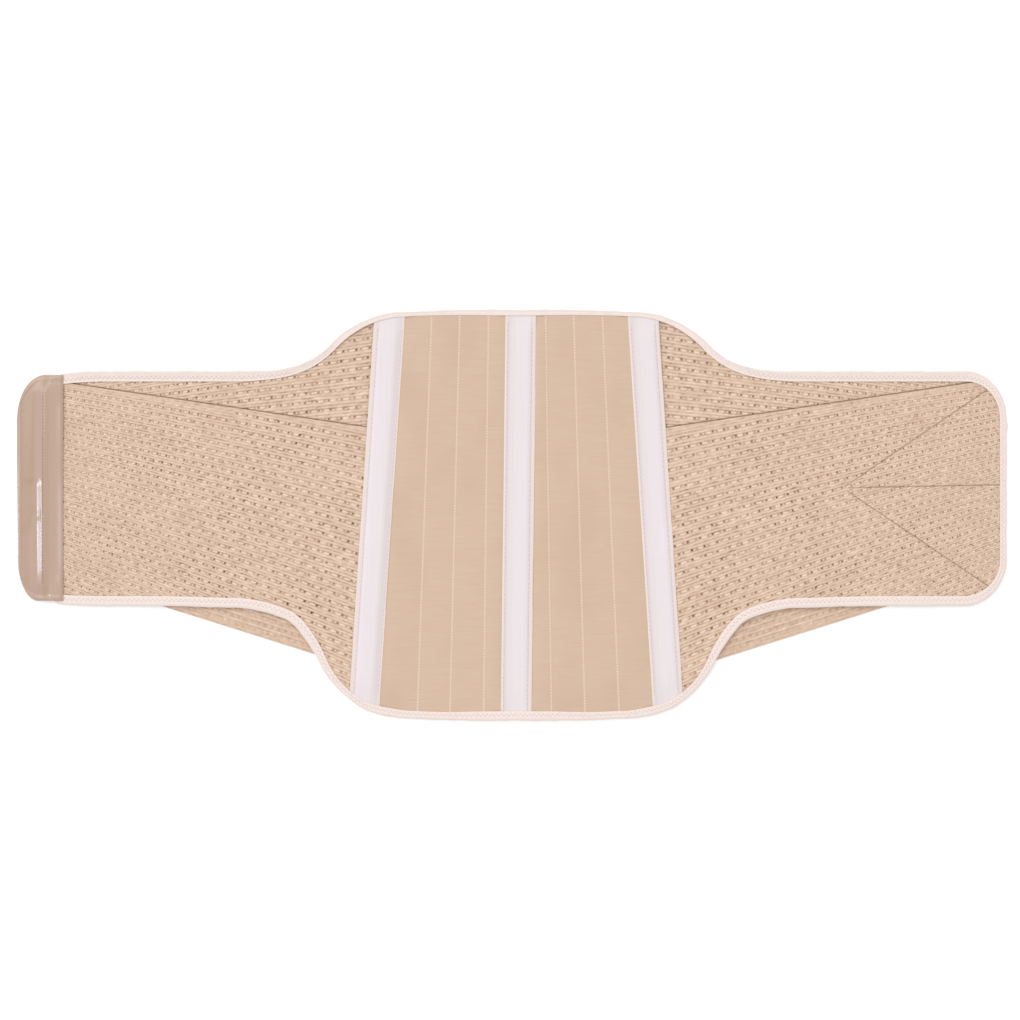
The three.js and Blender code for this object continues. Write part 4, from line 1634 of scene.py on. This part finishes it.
@dataclass
class EdgeBinding:
    """One folded tape round the whole edge: a U on its side that follows the outline."""

    outline: BeltOutline
    lay: Lay
    casings: tuple[Casing, ...]
    crossing: Crossing = Crossing()
    step: float = 2.4
    round: float = 0.9
    fold: float = 4.2
    lift_flat: float = 3.5
    lift_ramp: float = 9.0
    wobble: float = 0.16
    wobble_mm: Triple = (3.1, 17.0, 8.3)
    joint: Pair = (474.0, 86.0)
    joint_bulge: float = 1.5
    joint_reach: float = 4.5
    lower_shares: Triple = (1.0, 0.6, 0.25)
    upper_shares: tuple[float, ...] = (0.2, 0.27, 0.34, 0.42, 0.52, 0.62, 0.7, 0.78, 0.88, 1.0)
    inner_shares: Pair = (1.0, 0.55)
    stitch_rows: Pair = (0.46, 0.77)
    stitch_pitch: float = 4.5
    stitch_margin: float = 6.0
    ridge: float = 0.2
    ridge_gap: float = 0.1
    ridge_start: Pair = (0.0, 0.12)
    ridge_end: Pair = (1.02, 0.88)
    press: float = 1.55
    press_shares: Pair = (0.1, 0.95)
    thin_above: Pair = (-1.0, 3.5)
    thin_from: Pair = (168.0, 185.0)
    back_press: float = 0.2
    back_press_shares: Pair = (0.1, 0.6)
    back_thinned: float = 0.4
    back_thinned_shares: Pair = (0.75, 1.0)
    back_half: float = 160.0
    back_ramp: float = 12.0
    back_above: Pair = (0.0, 20.0)
    sunk_half: float = 222.0

    def top_level(self, path: EdgePath) -> Array:
        """Height of the tape's upper leg, which rises over the ends of the casings.

        Args:
            path: Stations along the edge.

        Returns:
            The flat height of the upper face at each station.
        """
        rise = self.casings[0].edge + CLEARANCE
        flat = self.casings[0].width / 2.0 + self.lift_flat
        x, y = path.places.T
        away = np.min([np.abs(x - casing.line(y)) for casing in self.casings], axis=0)
        return COVER_Z + TAPE + rise * (1.0 - smoothstep(away, flat, flat + self.lift_ramp))

    def pressed(self, path: EdgePath, share: Array) -> Array:
        """How far the upper leg is sewn down onto the cloth, one band thinner along the top of the wings.

        The depth is a smooth step of the share of the tape's width, times one along the edge.

        Args:
            path: Stations along the edge.
            share: The share of the tape's width from the outer edge.

        Returns:
            The depth at each station.
        """
        x, y = path.inset(path.width).T
        d = np.abs(x)
        thin = smoothstep(self.crossing.above(d, y), *self.thin_above) * smoothstep(d, *self.thin_from)
        on_back = self.back_press * self.on_back(path) * smoothstep(share, *self.back_press_shares)
        return self.press * thin * smoothstep(share, *self.press_shares) + on_back

    def on_back(self, path: EdgePath) -> Array:
        """One along the top of the back and nought elsewhere, with a soft change."""
        along = smoothstep(np.abs(path.places[:, 0]), self.back_half, self.back_half - self.back_ramp)
        return along * smoothstep(path.places[:, 1], *self.back_above)

    def puff(self, share: Array) -> Array:
        """Height of the soft ridges between the rows of stitches.

        Args:
            share: The share of the tape's width from the outer edge.

        Returns:
            The height there.
        """
        sunk = sum(bell(share, row, self.ridge_gap) for row in self.stitch_rows)
        ends = smoothstep(share, *self.ridge_start), smoothstep(share, *self.ridge_end)
        return self.ridge * (1.0 - sunk) * ends[0] * ends[1]

    def section(self, path: EdgePath) -> Run:
        """Draw the ring of points round the U: lower leg, round edge, upper leg, and back inside.

        Args:
            path: Stations along the edge.

        Returns:
            The depth into the cloth and the flat height, by station and point.
        """
        arc = path.arc
        fine, slow, plain = self.wobble_mm
        wobble = self.wobble * (np.sin(arc / fine) * np.sin(arc / slow) + np.sin(arc / plain + 1.0))
        # The ends of the tape overlap at the front, which makes a small bulge
        from_joint = np.linalg.norm(path.places - np.array(self.joint), axis=1)
        wobble -= self.joint_bulge * bell(from_joint, 0.0, self.joint_reach)
        low, high = np.full_like(arc, BINDING_Z), self.top_level(path)
        inside = np.full_like(arc, TAPE)
        turn = np.radians(np.linspace(0.0, 90.0, 4))
        r = self.round
        ring: list[Run] = [(share * path.width, low) for share in self.lower_shares]
        ring += [(r * (1 - math.sin(a)) + wobble, low + r * (1 - math.cos(a))) for a in turn]
        ring += [(r * (1 - math.cos(a)) + wobble, high - r * (1 - math.sin(a))) for a in turn]
        on_back = self.back_thinned * self.on_back(path)
        for share in self.upper_shares:
            thinned = on_back * smoothstep(share, *self.back_thinned_shares)
            top = high + self.puff(share) - self.pressed(path, share) - thinned
            ring.append((share * path.width, top))
        for share in self.inner_shares:
            ring.append((share * path.width, high - TAPE - self.pressed(path, share)))
        ring += [(inside, high - TAPE), (inside, low + TAPE)]
        ring += [(share * path.width, low + TAPE) for share in reversed(self.inner_shares)]
        depth, height = (np.stack(column, 1) for column in zip(*ring, strict=True))
        return depth, height

    def build(self, material: Material) -> Run:
        """Build the tape and find where its zigzag stitches go.

        The ring of points round the U is carried along the edge.

        Args:
            material: The tape's finish.

        Returns:
            The start and end points of its stitches.
        """
        path = self.outline.path(self.outline.binding_end_x, self.step)
        arc = path.arc
        depth, z = self.section(path)
        place = path.places[:, None, :] + path.inward[:, None, :] * depth[..., None]
        z = z + self.lay.at(place[..., 0], place[..., 1])
        points = np.concatenate([place, z[..., None]], -1).reshape(-1, 3)
        ring = depth.shape[1]
        quads = grid_quads(len(arc), ring, wrap=True)
        around = np.cumsum(np.abs(np.diff(depth, axis=1, prepend=depth[:, :1])), 1)
        uv = np.stack([np.broadcast_to(arc[:, None], depth.shape), around], -1).reshape(-1, 2) * MM
        cap_quads, cap_triangles = self.end_caps(ring, len(arc))
        across = np.clip(depth / path.width[:, None], 0.0, 1.0).ravel()
        tape = Surface(points, np.concatenate([quads, cap_quads]), cap_triangles, uv, {"across": across})
        piece = mesh_object("edge_binding_tape", tape, material)
        settle(piece, "binding_tape", "edge_binding")
        return self.zigzag(path)

    def end_caps(self, ring: int, stations: int) -> tuple[Array, Array]:
        """Close the two cut ends of the tape across its thickness.

        Args:
            ring: Points round the section.
            stations: Sections along the edge.

        Returns:
            The quads and the triangles of both ends.
        """
        # The section's outer points run from 0 to 20, and its inner ones back again from 21 to 26
        quads = np.array([[0, 1, 25, 26], [1, 2, 24, 25], [6, 7, 23, 24], [15, 16, 22, 23], [19, 20, 21, 22]])
        fans = [(24, 2, 6), (23, 7, 15), (22, 16, 19)]
        triangles = np.array([(hub, k, k + 1) for hub, first, last in fans for k in range(first, last)])
        far = ring * (stations - 1)
        both = [np.concatenate([faces[:, ::-1], faces + far]) for faces in (quads, triangles)]
        return both[0], both[1]

    def zigzag(self, path: EdgePath) -> Run:
        """Place the zigzag stitches on the upper leg.

        Args:
            path: Stations along the edge.

        Returns:
            The start and end points of the stitches.
        """
        arc = np.arange(self.stitch_margin, path.arc[-1] - self.stitch_margin, self.stitch_pitch / 2.0)
        at = path.at(arc)
        share = np.where(np.arange(len(arc)) % 2 == 0, *self.stitch_rows)
        place = at.inset(share * at.width)
        z = self.top_level(at) - self.pressed(at, share) + self.lay.at(place[:, 0], place[:, 1])
        spots = np.column_stack([place, z])
        # Along the top of the back and its shoulders the stitches sink into the tape and don't show
        shown = (np.abs(place[:-1, 0]) > self.sunk_half) | (place[:-1, 1] < 0.0)
        return spots[:-1][shown], spots[1:][shown]


@dataclass
class HookTab:
    """The hook fastener: flat on the left end of the belt, then down over that end to the floor."""

    lay: Lay
    inner_x: float = -441.2
    end_x: float = -486.0
    top_y: float = 136.0
    bottom_y: float = -83.0
    corner_top: Pair = (27.0, 44.0)
    corner_bottom: Pair = (20.0, 41.0)
    corner_steep: float = 0.75
    slope_points: int = 26
    slope_run: float = 54.0
    flat_points: int = 52
    flat_from: float = -470.0
    rows: int = 121
    edge_lean: float = 0.4
    edge_lean_x: Pair = (-466.0, -480.0)
    edge_lean_y: float = 10.0
    edge_lean_run: float = 40.0
    thickness: float = 2.0
    rim: float = 0.4
    rim_width: float = 3.4
    rim_ramp: Pair = (1.5, 1.0)
    rim_line: Pair = (2.2, 1.5)
    rim_groove: float = 0.14
    rim_groove_place: Pair = (4.9, 0.7)
    rolled: float = 0.7
    rolled_run: float = 1.6
    belt_tint: float = 0.85
    belt_tint_x: Pair = (-466.0, -449.0)
    # Painted light: the lower part of the free slope is tinted lighter, against the shade that falls on it
    low_painted_light: float = 0.35
    low_painted_light_x: Pair = (-464.0, -470.0)
    low_painted_light_y: Pair = (0.0, -25.0)
    seam_x: float = -460.8
    seam_y: Pair = (-67.0, 118.0)
    seam_ramp: float = 4.0
    seam_depth: float = 0.25
    seam_width: float = 0.7
    seam_faint: float = 0.4
    seam_faint_y: Pair = (20.0, 45.0)
    stitch_step: float = 3.2
    stitch_share: float = 0.7
    stitch_margin: float = 18.0
    stitch_rise: float = 0.05
    # Where the painted highlight band lies
    highlight_band_place: Pair = (-444.2, 2.2)
    highlight_band_low_y: Pair = (-64.0, -40.0)
    highlight_band_high_y: Pair = (45.0, 15.0)
    belt_end: Table = (
        (-425.0, 150.0), (-440.0, 141.0), (-452.3, 133.0), (-457.4, 123.0), (-460.9, 118.3),
        (-460.3, -66.9), (-452.5, -72.5), (-452.0, -84.0), (-425.0, -95.0),
    )
    belt_x: float = -455.0
    fall: float = 6.6
    fall_run: Triple = (4.4, 11.0, 26.0)
    fall_slope: Pair = (0.6, 0.1)
    fall_samples: int = 521
    eased: float = 0.2
    eased_y: Pair = (29.0, 37.0)
    eased_past: Pair = (22.0, 8.0)
    stiff: float = 0.5
    stiff_y: float = 55.0
    press: float = 1.15
    press_x: Pair = (-459.0, -447.0)
    press_ends: Pair = (8.0, 30.0)
    dent: float = 0.32
    dent_run: float = 4.0
    dent_start: Pair = (0.5, 3.0)
    dent_end: Pair = (12.0, 6.0)
    inner_thinned: float = 1.2
    inner_thinned_run: float = 2.4
    tints: Table = (
        (-476.0, 0.0), (-467.0, 0.6), (-461.2, 1.0), (-460.4, 0.1), (-456.5, 0.15), (-452.0, 0.8),
        (-440.0, 1.0),
    )

    def build(self, material: Material) -> Run:
        """Build the tab and find where its seam's stitches go.

        The face is a grid between two quarter-ellipse corners. Its height falls with the distance past the
        belt's end, with a raised rim on three sides and a pressed seam where the belt ends.

        Args:
            material: The strip's finish.

        Returns:
            The start and end points of its stitches.
        """
        bend = 0.5 - 0.5 * np.cos(np.linspace(0.0, math.pi / 2.0, self.slope_points))
        sloping = self.end_x + self.slope_run * bend[:-1]
        x = np.unique(np.concatenate([sloping, np.linspace(self.flat_from, self.inner_x, self.flat_points)]))
        v = np.linspace(0.0, 1.0, self.rows)
        low_y = self.bottom_y + self.corner_cut(x, self.corner_bottom)
        high_y = self.top_y - self.corner_cut(x, self.corner_top)
        y = mix(low_y, high_y, v[:, None])
        # The free edge leans a little
        lean = self.edge_lean * np.tanh((self.edge_lean_y - y) / self.edge_lean_run)
        grid_x = x + lean * smoothstep(x, *self.edge_lean_x)
        low, high = self.heights(grid_x, y)
        points = np.stack([grid_x, y, high], -1).reshape(-1, 3)
        face = Surface(points, grid_quads(len(v), len(x)), values=self.zones(grid_x, y))
        piece = mesh_object("hook_tab_strip", face.slab(low.ravel()), material)
        settle(piece, "hook_tape", "hook_tab")
        first, last = self.bottom_y + self.stitch_margin, self.top_y - self.stitch_margin
        starts = np.arange(first, last, self.stitch_step)
        spots = []
        for spot in (starts, starts + self.stitch_share * self.stitch_step):
            seam = np.full_like(spot, self.seam_x)
            level = self.heights(seam, spot)[1] + self.stitch_rise
            spots.append(np.column_stack([seam, spot, level]))
        return spots[0], spots[1]

    def zones(self, x: Array, y: Array) -> dict[str, Array]:
        """Work out the values that the strip's finish reads.

        Args:
            x: Places along the brace.
            y: Places up the brace.

        Returns:
            The zone's tint, the rim's strength, the strength of the painted highlight band, and the signed
            distance to the seam for its painted shade.
        """
        zone = np.interp(x, *zip(*self.tints, strict=True))
        # Painted light on the lower part of the slope, lighter towards the bottom
        zone = zone + self.low_painted_light * smoothstep(y, *self.low_painted_light_y) * smoothstep(x, *self.low_painted_light_x)
        on_rim = bell(self.to_rim(x, y), *self.rim_line)
        on_belt = self.belt_tint * smoothstep(x, *self.belt_tint_x)
        # Painted highlight: a soft band down the strip's right part, as a second glint of the gloss panel
        band = bell(x, *self.highlight_band_place) * smoothstep(y, *self.highlight_band_low_y) * smoothstep(y, *self.highlight_band_high_y)
        beyond = np.maximum(np.maximum(self.seam_y[0] - y, y - self.seam_y[1]), 0.0)
        off = x - self.seam_x
        # The painted shade of the seam line is strongest along the lower half
        faint = self.seam_faint * smoothstep(y, *self.seam_faint_y)
        off = off + np.sign(off) * (LINE_STOP * beyond + faint)
        far = np.full_like(y, FAR)
        return {
            "zone": zone.ravel(),
            "rim": np.maximum(on_rim, on_belt).ravel(),
            "band": band.ravel(),
            "seam": np.stack([off, far, far], -1).reshape(-1, 3),
        }

    def corner_cut(self, x: Array, corner: Pair) -> Array:
        """How far a quarter-ellipse corner takes the end of the tab in, at x."""
        into = np.clip((self.end_x + corner[0] - x) / corner[0], 0.0, 1.0)
        return corner[1] * (1.0 - np.sqrt(1.0 - into**2))

    def to_rim(self, x: Array, y: Array) -> Array:
        """Distance from the tab's outer edge on its three free sides.

        Args:
            x: Places along the brace.
            y: Places up the brace.

        Returns:
            The distance at each place.
        """
        low = (y - self.bottom_y - self.corner_cut(x, self.corner_bottom)) * self.corner_steep
        high = (self.top_y - self.corner_cut(x, self.corner_top) - y) * self.corner_steep
        return np.minimum(np.minimum(low, high), x - self.end_x)

    def heights(self, x: Array, y: Array) -> tuple[Array, Array]:
        """Heights of the tab's two faces.

        Args:
            x: Places along the brace.
            y: Places up the brace.

        Returns:
            The lower and the upper height.
        """
        base = COVER_Z + TAPE + CLEARANCE
        places = np.stack([x, y], -1).reshape(-1, 2)
        past = np.maximum(-depth_inside(places, np.array(self.belt_end))[0], 0.0).reshape(np.shape(x))
        # The upper part is less steep at first
        past = past * (1.0 - self.eased * smoothstep(y, *self.eased_y) * smoothstep(past, *self.eased_past))
        # The slope is steepest just past the belt's end, eases off and meets the floor at the tab's own end
        steep_end, ease_end, floor_end = self.fall_run
        run = np.linspace(0.0, floor_end, self.fall_samples)
        drop = np.cumsum(mix(*self.fall_slope, smoothstep(run, steep_end, ease_end)))
        share = 1.0 - np.interp(past, run, (drop - drop[0]) / (drop[-1] - drop[0]))
        # The strip is too stiff to follow all of the belt's sink above the strap
        followed = y - self.stiff * np.maximum(y - self.stiff_y, 0.0)
        on_belt = self.lay.at(np.maximum(x, self.belt_x), followed)
        near, far = self.press_ends
        between = smoothstep(y, self.bottom_y + near, self.bottom_y + far)
        between = between * smoothstep(y, self.top_y - near, self.top_y - far)
        on_belt = on_belt - self.press * between * smoothstep(x, *self.press_x)
        low = base - self.fall + (self.fall + on_belt) * share
        edge = self.to_rim(x, y)
        inside, outside = self.rim_ramp
        ridge = self.rim * (1.0 - smoothstep(edge, self.rim_width - inside, self.rim_width + outside))
        rolled = -self.rolled * (1.0 - smoothstep(edge, 0.0, self.rolled_run))
        first, last = self.seam_y
        sewn = smoothstep(y, first - self.seam_ramp, first) * smoothstep(y, last + self.seam_ramp, last)
        seam = -self.seam_depth * bell(x, self.seam_x, self.seam_width) * sewn
        # The free slope is dented a little half-way along
        dent = -self.dent * bell(y, 0.0, self.dent_run)
        dent = dent * smoothstep(past, *self.dent_start) * smoothstep(past, *self.dent_end)
        groove = -self.rim_groove * bell(edge, *self.rim_groove_place)
        thinned = -self.inner_thinned * (1.0 - smoothstep(self.inner_x - x, 0.0, self.inner_thinned_run))
        return low, low + self.thickness + ridge + rolled + seam + dent + groove + thinned


def threads(runs: list[Run], radius: float, dip: float = 0.6, rise: float = 1.0) -> Surface:
    """Draw short stitches as low four-sided bars that dip into the cloth at both ends.

    Each bar is a square section carried along its run. Its lift is a flat arch, and it narrows at its ends.

    Args:
        runs: The start and end points of each row of stitches.
        radius: The thread's radius.
        dip: How far the ends lie below the run, in radii.
        rise: The section's height as a share of its width.

    Returns:
        All the stitches as one surface.
    """
    start = np.concatenate([run[0] for run in runs])
    end = np.concatenate([run[1] for run in runs])
    along = end - start
    side = np.stack([-along[:, 1], along[:, 0], np.zeros(len(along))], 1)
    side /= np.linalg.norm(side, axis=1, keepdims=True)
    share = np.array([0.0, 0.22, 0.78, 1.0])
    lift = radius * rise * np.array([-dip, 0.5, 0.5, -dip])
    end_thick = 1.0 - dip / 1.5
    thick = radius * np.array([end_thick, 1.0, 1.0, end_thick])
    turn = np.radians([0.0, 90.0, 180.0, 270.0])
    middle = start[:, None, :] + along[:, None, :] * share[None, :, None]
    middle[..., 2] += lift
    cosine, sine = np.cos(turn)[None, None, :, None], np.sin(turn)[None, None, :, None]
    offset = side[:, None, None, :] * cosine + np.array([0.0, 0.0, rise]) * sine
    points = middle[:, :, None, :] + offset * thick[None, :, None, None]
    one = np.concatenate([grid_quads(4, 4, wrap=True), [[3, 2, 1, 0]], [[12, 13, 14, 15]]])
    quads = one[None] + share.size * turn.size * np.arange(len(start))[:, None, None]
    return Surface(points.reshape(-1, 3), quads.reshape(-1, 4))


@dataclass
class Brace:
    """The whole brace, with its wings, back, casings, binding, tab and stitches."""

    outline: BeltOutline = BeltOutline()
    lay: Lay = Lay()
    casings: tuple[Casing, ...] = (
        Casing("left", -137.2, 0.0655, Side.RIGHT),
        Casing("centre", 0.5, 0.012),
        Casing("right", 133.8, -0.0645),
    )
    course_drops: Pair = (0.65, 1.45)
    corner_share: float = 0.3

    def build(self) -> None:
        """Build every piece in order from the floor up."""
        self.build_wings()
        left, centre, right = self.casings
        cloth = WovenCloth("plain-woven back cloth", sheen=0.05, bump_strength=0.35).build()
        panels = (
            BackPanel(Side.LEFT, centre, left, (0.2264, 0.4483, 0.6638), (8.5e-5, 8.2e-5, 8.3e-5)),
            BackPanel(Side.RIGHT, centre, right, (0.2154, 0.4425, 0.6742), (-7.7e-5, -4.9e-5, -2.0e-5)),
        )
        panel_rows: list[Run] = []
        for panel in panels:
            panel_rows += panel.build(self.outline, self.lay, cloth)
        tape = CasingTape("woven casing tape", roughness=0.75, bump_strength=0.25, bump_mm=0.08).build()
        casing_rows: list[Run] = []
        for casing in self.casings:
            casing_rows += casing.build(self.outline, self.lay, tape)
        folded = BindingTape("knitted binding tape", sheen=0.1, bump_strength=0.3).build()
        zigzag = EdgeBinding(self.outline, self.lay, self.casings).build(folded)
        hook = HookStrip("moulded hook strip", roughness=0.14, bump_strength=0.04, specular=0.5).build()
        tab_row = HookTab(self.lay).build(hook)
        self.sew(panel_rows, casing_rows, zigzag, tab_row)

    def build_wings(self) -> None:
        """Build both wings in their elastic."""
        # Strengths of the painted shadow along the seam and the darts
        seam, darts = ("seam", 0.7), ("dart", 0.55)
        plain = KnitElastic("warp-knitted elastic", sheen=0.1, bump_strength=0.3, lines=(seam,))
        darted = replace(plain, name="warp-knitted elastic with darts", lines=(seam, darts))
        # The relaxed strap's dark and gap are painted shade in its holes and grooves, and crest is painted
        # light on its rib tops.
        name, dark = "warp-knitted elastic, relaxed", "#80604a"
        relaxed = KnitElastic(name, sheen=0.1, dark=dark, gap="#c8a68f", body="#dbc0a9", crest="#e6cbb5")
        finishes = [finish.build() for finish in (plain, darted, relaxed)]
        left, _, right = self.casings
        for side, casing, drop in zip(Side, (left, right), self.course_drops, strict=True):
            Wing(side, self.outline, self.lay, casing.x, casing.lean, drop).build(*finishes)

    def sew(self, panel_rows: list[Run], casing_rows: list[Run], zigzag: Run, tab_row: Run) -> None:
        """Sew all the stitches, each row in its own thread.

        Args:
            panel_rows: The lines through the back panels.
            casing_rows: The lines along the edges of the casings.
            zigzag: The stitches on the binding.
            tab_row: The seam of the tab.
        """
        # Bars in the gaps between the casing's stitches, for the painted shade of the needle holes
        gaps = [(ends[:-1], starts[1:]) for starts, ends in casing_rows]
        corners, onward = zigzag
        level = np.array([1.0, 1.0, 0.0])
        # Short bars at the zigzag's corners, for the painted shade of the needle holes
        bends = [(corners, corners + self.corner_share * (onward - corners) * level)]
        beige, lilac, pale = ("#ecd7c4", "#e4cdb9"), ("#f0e6e6", "#e2d6d8"), ("#f5e6df", "#ecdbd3")
        # sunk and shaded are painted shade: darker bars where the needle holes lie in shade
        sunk, shaded, taupe = ("#e6dad8", "#dccfce"), ("#e4d2cb", "#d8c5bd"), ("#b79c88", "#9c8372")
        for name, slot, kind, tones, bars in (
            ("panel_stitches", "back_cloth", "beige", beige, threads(panel_rows, 0.95, dip=0.15, rise=0.45)),
            ("casing_stitches", "casing_tape", "lilac", lilac, threads(casing_rows, 0.45)),
            ("casing_needle_hole_shade", "casing_tape", "drawn into the casing", sunk, threads(gaps, 0.5)),
            ("binding_stitches", "binding_tape", "pale", pale, threads([zigzag], 0.32)),
            ("binding_needle_hole_shade", "binding_tape", "drawn into the tape", shaded, threads(bends, 0.42)),
            ("tab_stitches", "hook_tape", "taupe", taupe, threads([tab_row], 0.35)),
        ):
            thread = SewingThread(f"spun sewing thread, {kind}", base=tones[0], shade=tones[1]).build()
            settle(mesh_object(name, bars, thread), slot)


@dataclass
class Studio:
    """A pale floor, soft light and a camera straight above, on a long lens; its lengths are metres."""

    height: float = 4.0
    middle_height: float = 0.006
    frame_width: float = 0.9894
    centre: Pair = (-0.00176, 0.005)
    sensor_mm: float = 36.0
    far: float = 50.0
    floor_half: float = 6.0
    floor_z: float = -0.0002
    sun_from: Triple = (-0.9, 1.3, 2.6)
    sun_degrees: float = 50.0
    sun_strength: float = 1.1
    gloss_from: Triple = (-1.386, -0.022, 0.378)
    gloss_aim: Triple = (-0.458, -0.022, 0.005)
    gloss_size: Pair = (0.12, 0.126)
    gloss_watts: float = 0.85
    gloss_colour: Triple = (0.64, 0.78, 1.0)
    sky_strength: float = 0.7

    def build(self) -> None:
        """Make the floor, the lights and the camera."""
        self.lay_floor()
        # A wide sun lights the whole floor evenly
        sun = bpy.data.lights.new("key", "SUN")
        sun.angle = math.radians(self.sun_degrees)
        sun.energy = self.sun_strength
        self.hang(sun, self.sun_from, (0.0, 0.0, 0.0))
        # A small cool panel beyond the left end is mirrored in the tab's slope
        gloss = bpy.data.lights.new("gloss", "AREA")
        gloss.shape = "RECTANGLE"
        gloss.size, gloss.size_y = self.gloss_size
        gloss.energy = self.gloss_watts
        gloss.color = self.gloss_colour
        self.hang(gloss, self.gloss_from, self.gloss_aim)
        world = bpy.data.worlds.new("studio")
        bpy.context.scene.world = world
        world.use_nodes = True
        sky = world.node_tree.nodes["Background"]
        sky.inputs[0].default_value = WHITE
        sky.inputs[1].default_value = self.sky_strength
        view = bpy.context.scene.view_settings
        view.view_transform = "Standard"
        view.look = "None"
        lens = bpy.data.cameras.new("photo_camera")
        lens.sensor_width = self.sensor_mm
        lens.lens = self.sensor_mm * (self.height - self.middle_height) / self.frame_width
        lens.clip_end = self.far
        camera = bpy.data.objects.new("photo_camera", lens)
        camera.location = (*self.centre, self.height)
        bpy.context.scene.collection.objects.link(camera)
        bpy.context.scene.camera = camera

    def lay_floor(self) -> None:
        """Lay a wide plain floor just under the part."""
        mesh = bpy.data.meshes.new("floor")
        reach, z = self.floor_half, self.floor_z
        corners = [(-reach, -reach, z), (reach, -reach, z), (reach, reach, z), (-reach, reach, z)]
        mesh.from_pydata(corners, [], [(0, 1, 2, 3)])
        mesh.materials.append(FloorPaint("white acrylic table", bump_strength=0.02, glow=0.18).build())
        floor = bpy.data.objects.new("floor", mesh)
        bpy.context.scene.collection.objects.link(floor)

    def hang(self, lamp: bpy.types.Light, place: Triple, aim: Triple) -> None:
        """Hang a light at a place and turn it to face a point.

        Args:
            lamp: The light.
            place: Where it hangs.
            aim: The point that it faces.
        """
        hung = bpy.data.objects.new(lamp.name, lamp)
        hung.location = place
        direction = Vector(aim) - Vector(place)
        hung.rotation_euler = direction.to_track_quat("-Z", "Y").to_euler()
        bpy.context.scene.collection.objects.link(hung)


def write_sizes() -> None:
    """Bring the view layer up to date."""
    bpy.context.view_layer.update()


def main() -> None:
    """Build the studio and the brace, and report each piece."""
    logging.basicConfig(level=logging.INFO, format="%(message)s")
    Studio().build()
    Brace().build()
    write_sizes()


if __name__ == "__main__":
    main()
